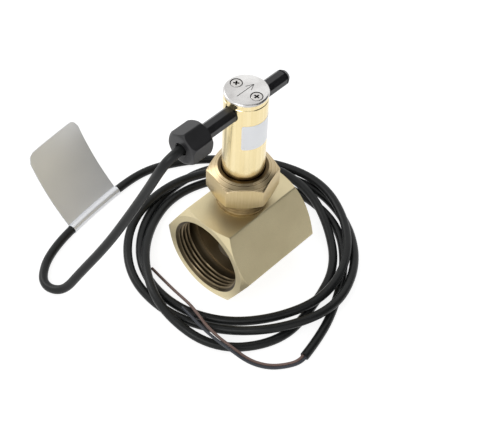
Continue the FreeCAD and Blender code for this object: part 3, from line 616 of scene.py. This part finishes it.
def coil_points():
    """Control points of the turns, a little further out than the turns' places, which lie on the spline."""
    points = []
    for k, (distance, height) in enumerate(COIL_TURNS):
        a = radians(COIL_START - COIL_STEP * k)
        reach = distance / cos(radians(COIL_STEP / 2))
        points.append((COIL_MIDDLE[0] + reach * cos(a), COIL_MIDDLE[1] + reach * sin(a), height))
    return points


def cord_line(name, route, width):
    """An open smooth spline with the route as its control points, round in section where width is given."""
    line = bpy.data.curves.new(name, "CURVE")
    line.dimensions = "3D"
    line.bevel_depth = width / 2
    line.bevel_resolution = 5
    line.use_fill_caps = True
    spline = line.splines.new("NURBS")
    spline.points.add(len(route) - 1)
    for point, (x, y, z) in zip(spline.points, route):
        point.co = (x * MM, y * MM, z * MM, 1.0)
    spline.order_u = 3
    spline.use_endpoint_u = True
    spline.resolution_u = 10
    return linked(name, line)


def read_line(name, route):
    """Points along the route's smooth spline."""
    line = cord_line(name, route, 0.0)
    mesh = bpy.data.meshes.new_from_object(line)
    points = [v.co.copy() for v in mesh.vertices]
    bpy.data.objects.remove(line)
    return points


def line_length(points):
    return sum((b - a).length for a, b in zip(points, points[1:]))


cable_route = LEAD_ROUTE + coil_points() + TAIL_ROUTE
cable_points = read_line("cable_guide", cable_route)
cable = placed(cord_line("cable", cable_route, CABLE_WIDTH), "cable_lead", "contact")
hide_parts("cable_coil", "cable_tail")
brown_core = placed(cord_line("brown_core_wire", BROWN_ROUTE, CORE_WIDTH), "brown_core", "contact")
blue_core = placed(cord_line("blue_core_wire", BLUE_ROUTE, CORE_WIDTH), "blue_core", "contact")

TAG_RUN = 14
TAG_LENGTH = 0.037
TAG_FLAG = 0.048
TAG_RISE = (radians(42.0), radians(68.0))
TAG_CORNER = 0.0045
TAG_TAPER = 0.08
TAG_SHEET = 0.00028


def tag_middle():
    """The spline's point half way along the run that carries the tag."""
    middle = (Vector(LEAD_ROUTE[TAG_RUN]) + Vector(LEAD_ROUTE[TAG_RUN + 1])) * MM / 2
    return min(range(len(cable_points)), key=lambda i: (cable_points[i] - middle).length)


def tag_places(count=33):
    """Even places along the cable under the tag, each with the cable's direction there."""
    middle = tag_middle()
    reach = [0.0]
    for a, b in zip(cable_points, cable_points[1:]):
        reach.append(reach[-1] + (b - a).length)
    places = []
    for i in range(count):
        wanted = reach[middle] + TAG_LENGTH * (i / (count - 1) - 0.5)
        k = next(j for j, r in enumerate(reach) if r >= wanted)
        share = (wanted - reach[k - 1]) / (reach[k] - reach[k - 1])
        way = (cable_points[k] - cable_points[k - 1]).normalized()
        places.append((cable_points[k - 1].lerp(cable_points[k], share), way))
    return places


def slanted(side, rise):
    """The direction that leans up from level by an angle."""
    return side * cos(rise) + Vector((0, 0, sin(rise)))


def corner_loss(corner, from_end):
    """How much shorter a film with round corners is, this far from its end."""
    return corner - sqrt(max(corner ** 2 - max(corner - from_end, 0.0) ** 2, 0.0))


def tag_flag():
    """One film wrapped round the cable, its two ends stuck together as a flag that stands up and curls."""
    wrap = CABLE_WIDTH / 2 + TAG_SHEET / 2 + 0.00006
    half = TAG_SHEET * 0.52
    leave = asin(half / wrap)
    across = 18
    round_it = 22
    outline = []
    for i in range(across):
        outline.append(("out", 1.0 - i / across, -half))
    for i in range(round_it + 1):
        a = -leave - (2 * pi - 2 * leave) * i / round_it
        outline.append(("round", wrap * cos(a), wrap * sin(a)))
    for i in range(1, across + 1):
        outline.append(("out", i / across, half))
    points, faces = [], []
    places = tag_places()
    start = wrap * cos(leave)
    low, high = TAG_RISE
    for i, (place, way) in enumerate(places):
        side = Vector((-way.y, way.x, 0.0)).normalized()
        from_end = min(i, len(places) - 1 - i) * TAG_LENGTH / (len(places) - 1)
        short = corner_loss(TAG_CORNER, from_end)
        for kind, u, w in outline:
            if kind == "round":
                points.append(place + slanted(side, low) * u + slanted(side, low + pi / 2) * w)
                continue
            length = TAG_FLAG - start
            run = u * (length - short)
            turn = low + (high - low) * run / length
            curl = length / (high - low)
            away = start * cos(low) + curl * (sin(turn) - sin(low))
            up = start * sin(low) - curl * (cos(turn) - cos(low))
            inward = way * (0.5 - i / (len(places) - 1)) * TAG_LENGTH * TAG_TAPER * run / length
            level = place + inward + side * away
            points.append(level + Vector((0, 0, up)) + slanted(side, turn + pi / 2) * w)
    width = len(outline)
    for i in range(len(places) - 1):
        for k in range(width - 1):
            a = i * width + k
            faces.append((a, a + 1, a + width + 1, a + width))
    mesh = bpy.data.meshes.new("tag")
    mesh.from_pydata([tuple(p) for p in points], [], faces)
    tag = linked("tag", mesh)
    film = tag.modifiers.new("film", "SOLIDIFY")
    film.thickness = TAG_SHEET
    film.offset = 0.0
    tidy_mesh(settle(tag), 0.000001)
    return placed(shaded(tag, 50.0), "cable_tag", "contact")


tag = tag_flag()
line_length(cable_points)
for core, route in ((brown_core, BROWN_ROUTE), (blue_core, BLUE_ROUTE)):
    tuple(c * MM for c in route[0])
    line_length(read_line("core_guide", route))


# ---- pieces made by rule ----
def rule_tree(name, numbers):
    """A modifier tree that takes a mesh, the named numbers and a finish, and a way to ask for each."""
    tree = bpy.data.node_groups.new(name, "GeometryNodeTree")
    tree.is_modifier = True
    net = Net(tree)
    face = tree.interface
    face.new_socket("Geometry", in_out="OUTPUT", socket_type="NodeSocketGeometry")
    face.new_socket("Geometry", in_out="INPUT", socket_type="NodeSocketGeometry")
    for number in numbers:
        face.new_socket(number, in_out="INPUT", socket_type="NodeSocketFloat")
    face.new_socket("Finish", in_out="INPUT", socket_type="NodeSocketMaterial")
    given = tree.nodes.new("NodeGroupInput")
    return net, lambda key: Value(net, given.outputs[key])


def close_rule(net, geometry, paint):
    real = net.node("GeometryNodeRealizeInstances", inputs={0: geometry})
    painted = net.node("GeometryNodeSetMaterial", inputs={"Geometry": real, "Material": paint})
    net.node("NodeGroupOutput", inputs={0: painted})
    return net.tree


def follow_rule(piece, rule, wanted):
    """The piece with the rule worked into its mesh. Inputs are set by their sockets' identifiers."""
    step = piece.modifiers.new(rule.name, "NODES")
    step.node_group = rule
    for item in rule.interface.items_tree:
        if item.in_out == "INPUT" and item.name in wanted:
            step[item.identifier] = wanted[item.name]
    return settle(piece)


def thread_rule():
    """Moves each marked point of a turned surface out or in to the flank of a helical thread along X or Z."""
    net, asked = rule_tree("thread", ("Pitch", "Crest", "Depth", "Side", "Axis height", "Along X"))
    here = net.node("GeometryNodeInputPosition")
    off_axis = net.node("ShaderNodeVectorMath", {"operation": "SUBTRACT"},
                        {0: here, 1: net.point(0.0, 0.0, asked("Axis height"))})
    x, y, z = (net.node("ShaderNodeSeparateXYZ", inputs={0: off_axis}, output=axis) for axis in "XYZ")
    on_x = asked("Along X")
    first = y * on_x + x * (1.0 - on_x)
    second = z * on_x + y * (1.0 - on_x)
    along = x * on_x + z * (1.0 - on_x)
    radius = (first * first + second * second) ** 0.5
    angle = second.math("ARCTAN2", first)
    wave = (along / asked("Pitch") + angle / (2 * pi)).math("PINGPONG", 0.5) * 2.0
    flank = net.node("ShaderNodeMapRange", {"interpolation_type": "SMOOTHSTEP"}, {"Value": wave})
    wanted = asked("Crest") + asked("Side") * asked("Depth") * flank
    side = asked("Side")
    kept = (radius * side).math("MAXIMUM", wanted * side) * side
    scale = kept / radius
    growth = scale - 1.0
    shift = net.point(x * growth * (1.0 - on_x), y * growth, z * growth * on_x)
    marked = net.node("GeometryNodeInputNamedAttribute", {"data_type": "BOOLEAN"}, {"Name": "threaded"})
    inputs = {"Geometry": asked("Geometry"), "Selection": marked, "Offset": shift}
    return close_rule(net, net.node("GeometryNodeSetPosition", inputs=inputs), asked("Finish"))


THREAD_RULE = thread_rule()


def threaded(piece, low, high, radius_low, radius_high, wanted):
    """The piece with a thread where its turned surface lies between two places and two radii."""
    axis = 0 if wanted["Along X"] else 2
    lift = wanted["Axis height"]
    mark = piece.data.attributes.new("threaded", "BOOLEAN", "POINT")
    for v, flag in zip(piece.data.vertices, mark.data):
        x, y, z = v.co
        radius = sqrt(y ** 2 + (z - lift) ** 2) if axis == 0 else sqrt(x ** 2 + y ** 2)
        flag.value = low < abs(v.co[axis]) < high and radius_low < radius < radius_high
    follow_rule(piece, THREAD_RULE, wanted)
    piece.data.attributes.remove(piece.data.attributes["threaded"])
    return tidy_mesh(piece, 0.000004)


# ---- tee ----
def run_of_rows(start, end, count):
    return [start + (end - start) * i / count for i in range(count + 1)]


def tee_bore():
    """The bore from one mouth to its middle, in rows close enough to carry the thread."""
    rows = [(TEE_HALF, MOUTH_R)]
    for x in run_of_rows(TEE_HALF - 0.0001, THREAD_END + 0.0005, 36):
        rows.append((x, max(THREAD_CREST, MOUTH_R - (TEE_HALF - x))))
    rows += [(THREAD_END, THREAD_CREST), (THREAD_END, RELIEF_R), (RELIEF_END, RELIEF_R), (RELIEF_END, BORE_R)]
    return rows


def tee_outline(direction):
    reach = flat_distance(direction, TEE_FLATS, 6, pi / 2, TEE_CORNER)
    shoulder = TEE_HALF - (reach - TEE_FACE_R) * CHAMFER_SLOPE
    outside = [(TEE_HALF, TEE_FACE_R), (shoulder, reach), (-shoulder, reach), (-TEE_HALF, TEE_FACE_R)]
    bore = tee_bore()
    return outside + [(-x, r) for x, r in bore] + bore[::-1]


def make_tee():
    columns = bar_columns(TEE_FLATS, 6, pi / 2, TEE_CORNER, 28, 5)
    tee = turned("tee", columns, tee_outline, "X", TEE_AXIS[1:], closed=True)
    threaded(tee, THREAD_END, TEE_HALF - 0.00005, THREAD_CREST - 0.0001, MOUTH_R,
             {"Pitch": THREAD_PITCH, "Crest": THREAD_CREST, "Depth": THREAD_DEPTH, "Side": 1.0,
              "Axis height": TEE_AXIS[2], "Along X": 1.0})
    cut(tee, plug("branch_hole", BRANCH_HOLE_R, 0.0251, 0.051))
    return placed(shaded(tee, 28.0), "tee_body", "root")


make_tee()


# ---- nipple, union nut, tube ----
def make_nipple():
    thread_top = NIPPLE_TOP - 0.0006
    outline = [(NIPPLE_FOOT, NIPPLE_SPIGOT_R), (NIPPLE_SHOULDER, NIPPLE_SPIGOT_R)]
    threaded_rows = [NIPPLE_SHOULDER] + run_of_rows(NIPPLE_SHOULDER + 0.0006, thread_top, 66)
    outline += [(z, NIPPLE_R) for z in threaded_rows]
    outline += [(NIPPLE_TOP, NIPPLE_R - 0.0005), (NIPPLE_TOP, NIPPLE_BORE_R), (NIPPLE_FOOT, NIPPLE_BORE_R)]
    nipple = round_piece("nipple", outline, closed=True)
    threaded(nipple, NIPPLE_SHOULDER + 0.0012, thread_top, NIPPLE_R - 0.0001, NIPPLE_R + 0.0001,
             {"Pitch": NIPPLE_PITCH, "Crest": NIPPLE_R, "Depth": NIPPLE_DEPTH, "Side": -1.0,
              "Axis height": 0.0, "Along X": 0.0})
    cut(nipple, plug("flow_bore", BORE_R, -0.03, 0.03, "X", TEE_AXIS[1:]))
    return placed(shaded(nipple), "branch_nipple", "root")


make_nipple()

def nut_outline(direction):
    reach = flat_distance(direction, NUT_FLATS, 6, NUT_TURN, NUT_CORNER)
    foot = NUT_FOOT_Z + (reach - NUT_FOOT_R) * CHAMFER_SLOPE
    top = NUT_TOP_Z - (reach - NUT_LEDGE_R) * CHAMFER_SLOPE
    rise = NUT_TOP_Z - top
    slant = [(top + rise * share, reach + (NUT_LEDGE_R - reach) * share) for share in QUARTERS]
    inside = [(NUT_TOP_Z, NUT_MOUTH_R + 0.0001), (NUT_TOP_Z - 0.0001, NUT_MOUTH_R), (COLLAR_TO, NUT_MOUTH_R),
              (COLLAR_TO, NUT_THREAD_R), (NUT_FOOT_Z + 0.0005, NUT_THREAD_R),
              (NUT_FOOT_Z, NUT_THREAD_R + 0.0005)]
    return [(NUT_FOOT_Z, NUT_FOOT_R), (foot, reach)] + slant + inside


def make_nut():
    columns = bar_columns(NUT_FLATS, 6, NUT_TURN, NUT_CORNER, 22, 4)
    nut = turned("union_ring_nut", columns, nut_outline, closed=True)
    return placed(shaded(softened(nut, 0.00022, 40.0), 28.0), "union_nut", "root")


make_nut()
dressed_copy("collar_seal", "collar_gasket", "root", 0.0)

def tube_outline():
    edge = 0.0003
    inside = [(SEAT_BORE_END, 0.0), (SEAT_BORE_END, SEAT_BORE_R), (LOWER_BORE_END, SEAT_BORE_R),
              (LOWER_BORE_END, LOWER_BORE_R), (CLIP_GROOVE_TO, LOWER_BORE_R), (CLIP_GROOVE_TO, CLIP_GROOVE_R),
              (CLIP_GROOVE_FROM, CLIP_GROOVE_R), (CLIP_GROOVE_FROM, LOWER_BORE_R), (TUBE_FOOT, LOWER_BORE_R)]
    outside = [(TUBE_FOOT, TUBE_R - edge), (TUBE_FOOT + edge, TUBE_R), (COLLAR_FROM, TUBE_R),
               (COLLAR_FROM, COLLAR_R), (COLLAR_TO, COLLAR_R), (COLLAR_TO, TUBE_R)]
    outside += [(z, TUBE_R) for z in run_of_rows(COLLAR_TO + 0.0003, TUBE_TOP - edge, 12)]
    return inside + outside + [(TUBE_TOP, TUBE_R - edge), (TUBE_TOP, 0.0)]


def make_tube():
    tube = round_piece("tube", tube_outline(), count=160)
    reach = 0.013
    keyhole = plug("cross_bore", CROSS_BORE_R, -reach, reach, "X", (0.0, ROD_Z), 64)
    combine(keyhole, box_piece("slot", (-reach, -SLOT_HALF, ROD_Z), (reach, SLOT_HALF, 0.1215)), "UNION")
    cut(tube, keyhole)
    for y in (-SCREW_Y, SCREW_Y):
        cut(tube, plug("screw_hole", SCREW_HOLE_R, 0.11295, 0.122, "Z", (0.0, y), 32))
    return placed(shaded(tube, 30.0), "switch_tube", "root")


make_tube()

LABEL_FROM, LABEL_TO = radians(-146.0), radians(-38.0)
LABEL_LOW, LABEL_HIGH = 0.0950, 0.1105
LABEL_CORNER = 0.0008
LABEL_FILM = 0.00006


def tube_label():
    """A bare label: thin silver film with round corners on the tube."""
    across, up = 48, 16
    points, faces = [], []
    for i in range(across + 1):
        share = i / across
        width = (LABEL_TO - LABEL_FROM) * TUBE_R
        from_side = min(share, 1 - share) * width
        short = corner_loss(LABEL_CORNER, from_side)
        a = LABEL_FROM + (LABEL_TO - LABEL_FROM) * share
        for k in range(up + 1):
            z = LABEL_LOW + short + (LABEL_HIGH - LABEL_LOW - 2 * short) * k / up
            r = TUBE_R + 0.00001
            points.append((r * cos(a), r * sin(a), z))
    for i in range(across):
        for k in range(up):
            a = i * (up + 1) + k
            faces.append((a, a + up + 1, a + up + 2, a + 1))
    mesh = bpy.data.meshes.new("tube_label")
    mesh.from_pydata(points, [], faces)
    label = linked("tube_label", mesh)
    film = label.modifiers.new("film", "SOLIDIFY")
    film.thickness = LABEL_FILM
    film.offset = 1.0
    tidy_mesh(settle(label), 0.000001)
    label.data.materials.append(FINISHES["tag_film"])
    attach(label, "root")
    return shaded(label, 50.0)


tube_label()


# ---- clamp cap, arrow plate and screws ----
def screw_tool(y):
    """Cuts a screw's hole and its countersink."""
    low, high = 0.115, PLATE_TOP + 0.001
    outline = [(low, 0.0), (low, SCREW_HOLE_R), (SINK_FROM, SCREW_HOLE_R), (PLATE_TOP - 0.0005, SINK_R),
               (high, SINK_R), (high, 0.0)]
    return round_piece("screw_tool", outline, "Z", (0.0, y), count=48)


def make_cap():
    edge = 0.00015
    disc = [(CAP_Z, 0.0), (CAP_Z, TUBE_R - edge), (CAP_Z + edge, TUBE_R), (PLATE_Z - edge, TUBE_R),
            (PLATE_Z, TUBE_R - edge), (PLATE_Z, 0.0)]
    cap = round_piece("cap", disc, count=160)
    tongue = box_piece("tongue", (-0.012, -0.0029, 0.1194), (0.012, 0.0029, 0.1215))
    combine(tongue, plug("tongue_end", TUBE_R - 0.00005, 0.119, 0.122, count=160), "INTERSECT")
    combine(cap, tongue, "UNION")
    for y in (-SCREW_Y, SCREW_Y):
        cut(cap, screw_tool(y))
    return placed(shaded(cap, 30.0), "clamp_cap", "root")


make_cap()

ARROW_TAIL, ARROW_TIP = -0.0064, 0.0051
ARROW_BACK, ARROW_SIDE = 0.0038, 0.0018
ARROW_LINE = 0.00036
ARROW_DEPTH = 0.00018


def groove(name, start, end):
    """A straight groove in the plate's face, as a bar to cut it with."""
    way = (end - start).normalized()
    across = Vector((-way.y, way.x)) * ARROW_LINE / 2
    corners = [start - across, end - across, end + across, start + across]
    points = [(p.x, p.y, z) for z in (PLATE_TOP - ARROW_DEPTH, PLATE_TOP + 0.001) for p in corners]
    faces = [(3, 2, 1, 0), (4, 5, 6, 7), (0, 1, 5, 4), (1, 2, 6, 5), (2, 3, 7, 6), (3, 0, 4, 7)]
    mesh = bpy.data.meshes.new(name)
    mesh.from_pydata(points, [], faces)
    return linked(name, mesh)


def make_plate():
    disc = [(PLATE_Z, 0.0), (PLATE_Z, PLATE_R - 0.0001), (PLATE_Z + 0.0001, PLATE_R), (0.1234, PLATE_R),
            (0.12362, 0.01083), (0.1241, 0.01036), (0.12417, 0.01022), (PLATE_TOP, 0.0101), (PLATE_TOP, 0.0)]
    plate = round_piece("plate", disc, count=160)
    for y in (-SCREW_Y, SCREW_Y):
        cut(plate, screw_tool(y))
    tip = Vector((ARROW_TIP, 0.0))
    for start in (Vector((ARROW_TAIL, 0.0)), Vector((ARROW_TIP - ARROW_BACK, ARROW_SIDE)),
                  Vector((ARROW_TIP - ARROW_BACK, -ARROW_SIDE))):
        cut(plate, groove("groove", start, tip))
    mark_low, mark_high = (0.0006, -0.0051, PLATE_TOP - 0.0004), (0.0017, -0.0047, PLATE_TOP + 0.001)
    cut(plate, box_piece("key_mark", mark_low, mark_high))
    return placed(shaded(plate, 30.0), "arrow_plate", "root")


make_plate()


def screw_rule():
    """One screw set at each of the plate's two holes."""
    net, asked = rule_tree("screws", ("Offset", "Turn"))
    offset = asked("Offset")
    number = net.node("GeometryNodeInputIndex")
    first, step = net.point(0.0, offset * -1.0, 0.0), net.point(0.0, offset * 2.0, 0.0)
    spots = net.node("GeometryNodeMeshLine", inputs={"Count": 2, "Start Location": first, "Offset": step})
    turned_by = net.point(0.0, 0.0, number * asked("Turn"))
    inputs = {"Points": spots, "Instance": asked("Geometry"), "Rotation": turned_by}
    return close_rule(net, net.node("GeometryNodeInstanceOnPoints", inputs=inputs), asked("Finish"))


def make_screws():
    """Two countersunk screws with cross recesses."""
    top = PLATE_TOP - 0.00006
    outline = [(0.1130, 0.0), (0.1130, 0.0007), (0.1137, SCREW_R), (SINK_FROM, SCREW_R), (0.1234, HEAD_R),
               (top - 0.00012, HEAD_R), (top - 0.00003, HEAD_R - 0.0001), (top, HEAD_R - 0.00025), (top, 0.0)]
    screw = round_piece("plate_screws", outline, count=48)
    arm, half = 0.00150, 0.00042
    for x, y in ((arm, half), (half, arm)):
        cut(screw, box_piece("recess", (-x, -y, top - 0.0011), (x, y, top + 0.001)))
    wanted = {"Offset": SCREW_Y, "Turn": radians(38.0), "Finish": FINISHES["cap_steel"]}
    follow_rule(screw, screw_rule(), wanted)
    return placed(shaded(screw, 30.0), "cap_screws", "root", "cap_steel")


make_screws()


# ---- reed rod and gland nut ----
ROD_FLATS = 0.0076
ROD_TIP = 0.0275
ROD_TAIL = -0.037
ROD_CORNER = 0.0002


def rod_outline(direction):
    reach = flat_distance(direction, ROD_FLATS, 8, 0.0, ROD_CORNER)
    slant = ROD_TIP - (reach - 0.0029) * 2.0 / 1.21
    return [(ROD_TIP, 0.0), (ROD_TIP, 0.0028), (ROD_TIP - 0.00008, 0.0029), (slant, reach), (0.0255, reach),
            (0.0255, 0.0034), (0.0249, 0.0034), (0.0249, reach), (-0.031, reach), (-0.031, 0.0037),
            (ROD_TAIL, 0.0037), (ROD_TAIL, 0.0024), (0.024, 0.0024), (0.024, 0.0)]


def make_rod():
    columns = bar_columns(ROD_FLATS, 8, 0.0, ROD_CORNER, 4, 3)
    rod = turned("rod", columns, rod_outline, "X", (0.0, ROD_Z))
    return placed(shaded(rod, 24.0), "reed_rod", "contact")


make_rod()

GLAND_FLATS = 0.016
GLAND_FROM, GLAND_TO = -0.043, -0.0297
GLAND_CORNER = 0.0007
GLAND_TURN = radians(5.0)
GLAND_ROUND = 0.0024
GLAND_BORE_R = 0.00375
GLAND_HOLE_R = 0.0032


def gland_outline(direction):
    reach = flat_distance(direction, GLAND_FLATS, 6, GLAND_TURN, GLAND_CORNER)
    widest = GLAND_FLATS / 2 / cos(pi / 6)
    start = widest - GLAND_ROUND
    turn = asin(min(1.0, (reach - start) / GLAND_ROUND))
    end = []
    for share in QUARTERS:
        a = turn * share
        end.append((GLAND_ROUND * (1 - cos(a)), start + GLAND_ROUND * sin(a)))
    near = [(GLAND_FROM + s, r) for s, r in end]
    far = [(GLAND_TO - s, r) for s, r in end[::-1]]
    mouth_end, seal_face = GLAND_TO - 0.0014, GLAND_FROM + 0.0015
    inside = [(GLAND_TO, CROSS_BORE_R), (mouth_end, CROSS_BORE_R), (mouth_end, GLAND_BORE_R),
              (seal_face, GLAND_BORE_R), (seal_face, GLAND_HOLE_R), (GLAND_FROM + 0.0004, GLAND_HOLE_R),
              (GLAND_FROM, GLAND_HOLE_R + 0.0004)]
    return near + far + inside


def make_gland():
    columns = bar_columns(GLAND_FLATS, 6, GLAND_TURN, GLAND_CORNER, 14, 4)
    gland = turned("gland", columns, gland_outline, "X", (0.0, ROD_Z), closed=True)
    return placed(shaded(gland, 30.0), "gland_nut", "contact")


make_gland()

# ---- inner pieces ----
for piece_name, node, body, edge in (
        ("carrier", "paddle_carrier", "root", 0.00012), ("axle", "axle_pin", "root", 0.00012),
        ("stops", "stop_pins", "root", 0.0001), ("circlip", "carrier_circlip", "root", 0.0001),
        ("magnet_holder", "magnet_seat", "root", 0.00015), ("fixed_magnet", "reset_magnet", "root", 0.00012),
        ("lever", "paddle_lever", "paddle", 0.00015), ("moving_magnet", "lever_magnet", "paddle", 0.00012),
        ("blade", "paddle_blade", "paddle", 0.00012), ("blade_fixings", "blade_screws", "paddle", 0.00012),
        ("glass_tube", "reed_glass", "contact", 0.0), ("wires", "reed_leads", "contact", 0.0),
        ("resin", "potting", "contact", 0.00012), ("sheath_end", "sheath_tail", "contact", 0.0),
        ("seal_ring", "gland_seal", "contact", 0.0001)):
    dressed_copy(piece_name, node, body, edge)


# ---- room and light ----
WHITE = (1.0, 1.0, 1.0, 1.0)
ROOM_LIGHT = 0.62
FLOOR_GLOW = 0.84
AIM = (0.0, 0.0, 0.05)


def shown_rays(net):
    """1 for rays that show the room itself, straight or in metal and glass."""
    rays = [net.node("ShaderNodeLightPath", output=kind) for kind in
            ("Is Camera Ray", "Is Glossy Ray", "Is Transmission Ray")]
    return rays[0].math("MAXIMUM", rays[1]).math("MAXIMUM", rays[2])


def set_room():
    """A white room: rays that show it see it white, and it lights the part softly."""
    room = bpy.data.worlds.new("room")
    bpy.context.scene.world = room
    room.use_nodes = True
    net = Net(room.node_tree)
    factor = shown_rays(net)
    light, white = (net.node("ShaderNodeBackground", inputs={"Color": WHITE, "Strength": strength})
                    for strength in (ROOM_LIGHT, 1.0))
    mixed = net.node("ShaderNodeMixShader", inputs={0: factor, 1: light, 2: white})
    net.node("ShaderNodeOutputWorld", inputs={"Surface": mixed})


def stage_sheet(name, width, depth, place, turn=(0.0, 0.0, 0.0)):
    mesh = bpy.data.meshes.new(name)
    x, y = width / 2, depth / 2
    mesh.from_pydata([(-x, -y, 0), (x, -y, 0), (x, y, 0), (-x, y, 0)], [], [(0, 1, 2, 3)])
    sheet = linked(name, mesh)
    sheet.location = place
    sheet.rotation_euler = [radians(a) for a in turn]
    return sheet


def floor_finish():
    """White paper: it takes the part's soft shadow, and shows white elsewhere."""
    material = bpy.data.materials.new("paper")
    material.use_nodes = True
    net = Net(material.node_tree)
    paper = net.node("ShaderNodeBsdfDiffuse", inputs={"Color": (0.36, 0.36, 0.36, 1.0)})
    glow = net.node("ShaderNodeEmission", inputs={"Color": WHITE, "Strength": shown_rays(net) * FLOOR_GLOW})
    both = net.node("ShaderNodeAddShader", inputs={0: paper, 1: glow})
    net.node("ShaderNodeOutputMaterial", inputs={"Surface": both})
    return material


def lamp(name, place, aim, width, depth, power):
    light = bpy.data.lights.new(name, "AREA")
    light.shape = "RECTANGLE"
    light.size = width
    light.size_y = depth
    light.energy = power
    made = bpy.data.objects.new(name, light)
    made.location = place
    made.rotation_euler = (Vector(aim) - Vector(place)).to_track_quat("-Z", "Y").to_euler()
    bpy.context.scene.collection.objects.link(made)
    return made


def card(name, place, turn, width, depth):
    """A black card out of view, for dark lines in the polished metal."""
    sheet = stage_sheet(name, width, depth, place, turn)
    material = bpy.data.materials.new(name)
    material.use_nodes = True
    net = Net(material.node_tree)
    black = net.node("ShaderNodeBsdfDiffuse", inputs={"Color": (0.01, 0.01, 0.01, 1.0)})
    net.node("ShaderNodeOutputMaterial", inputs={"Surface": black})
    sheet.data.materials.append(material)
    sheet.visible_camera = False
    sheet.visible_diffuse = False
    sheet.visible_shadow = False
    return sheet


set_room()
floor = stage_sheet("floor", 3.0, 3.0, (0.0, 0.0, -0.00002))
floor.data.materials.append(floor_finish())
lamp("key", (-0.80, -0.10, 0.72), AIM, 0.40, 0.40, 2.0)
lamp("fill", (-0.25, 0.85, 0.55), AIM, 0.5, 0.5, 2.0)
card("right_card", (0.52, -0.66, 0.46), (66.0, 0.0, 40.0), 1.2, 1.05)
card("top_card", (-0.10, -0.20, 1.05), (8.0, -5.0, 0.0), 0.7, 0.7)
bpy.context.scene.view_settings.view_transform = "Standard"
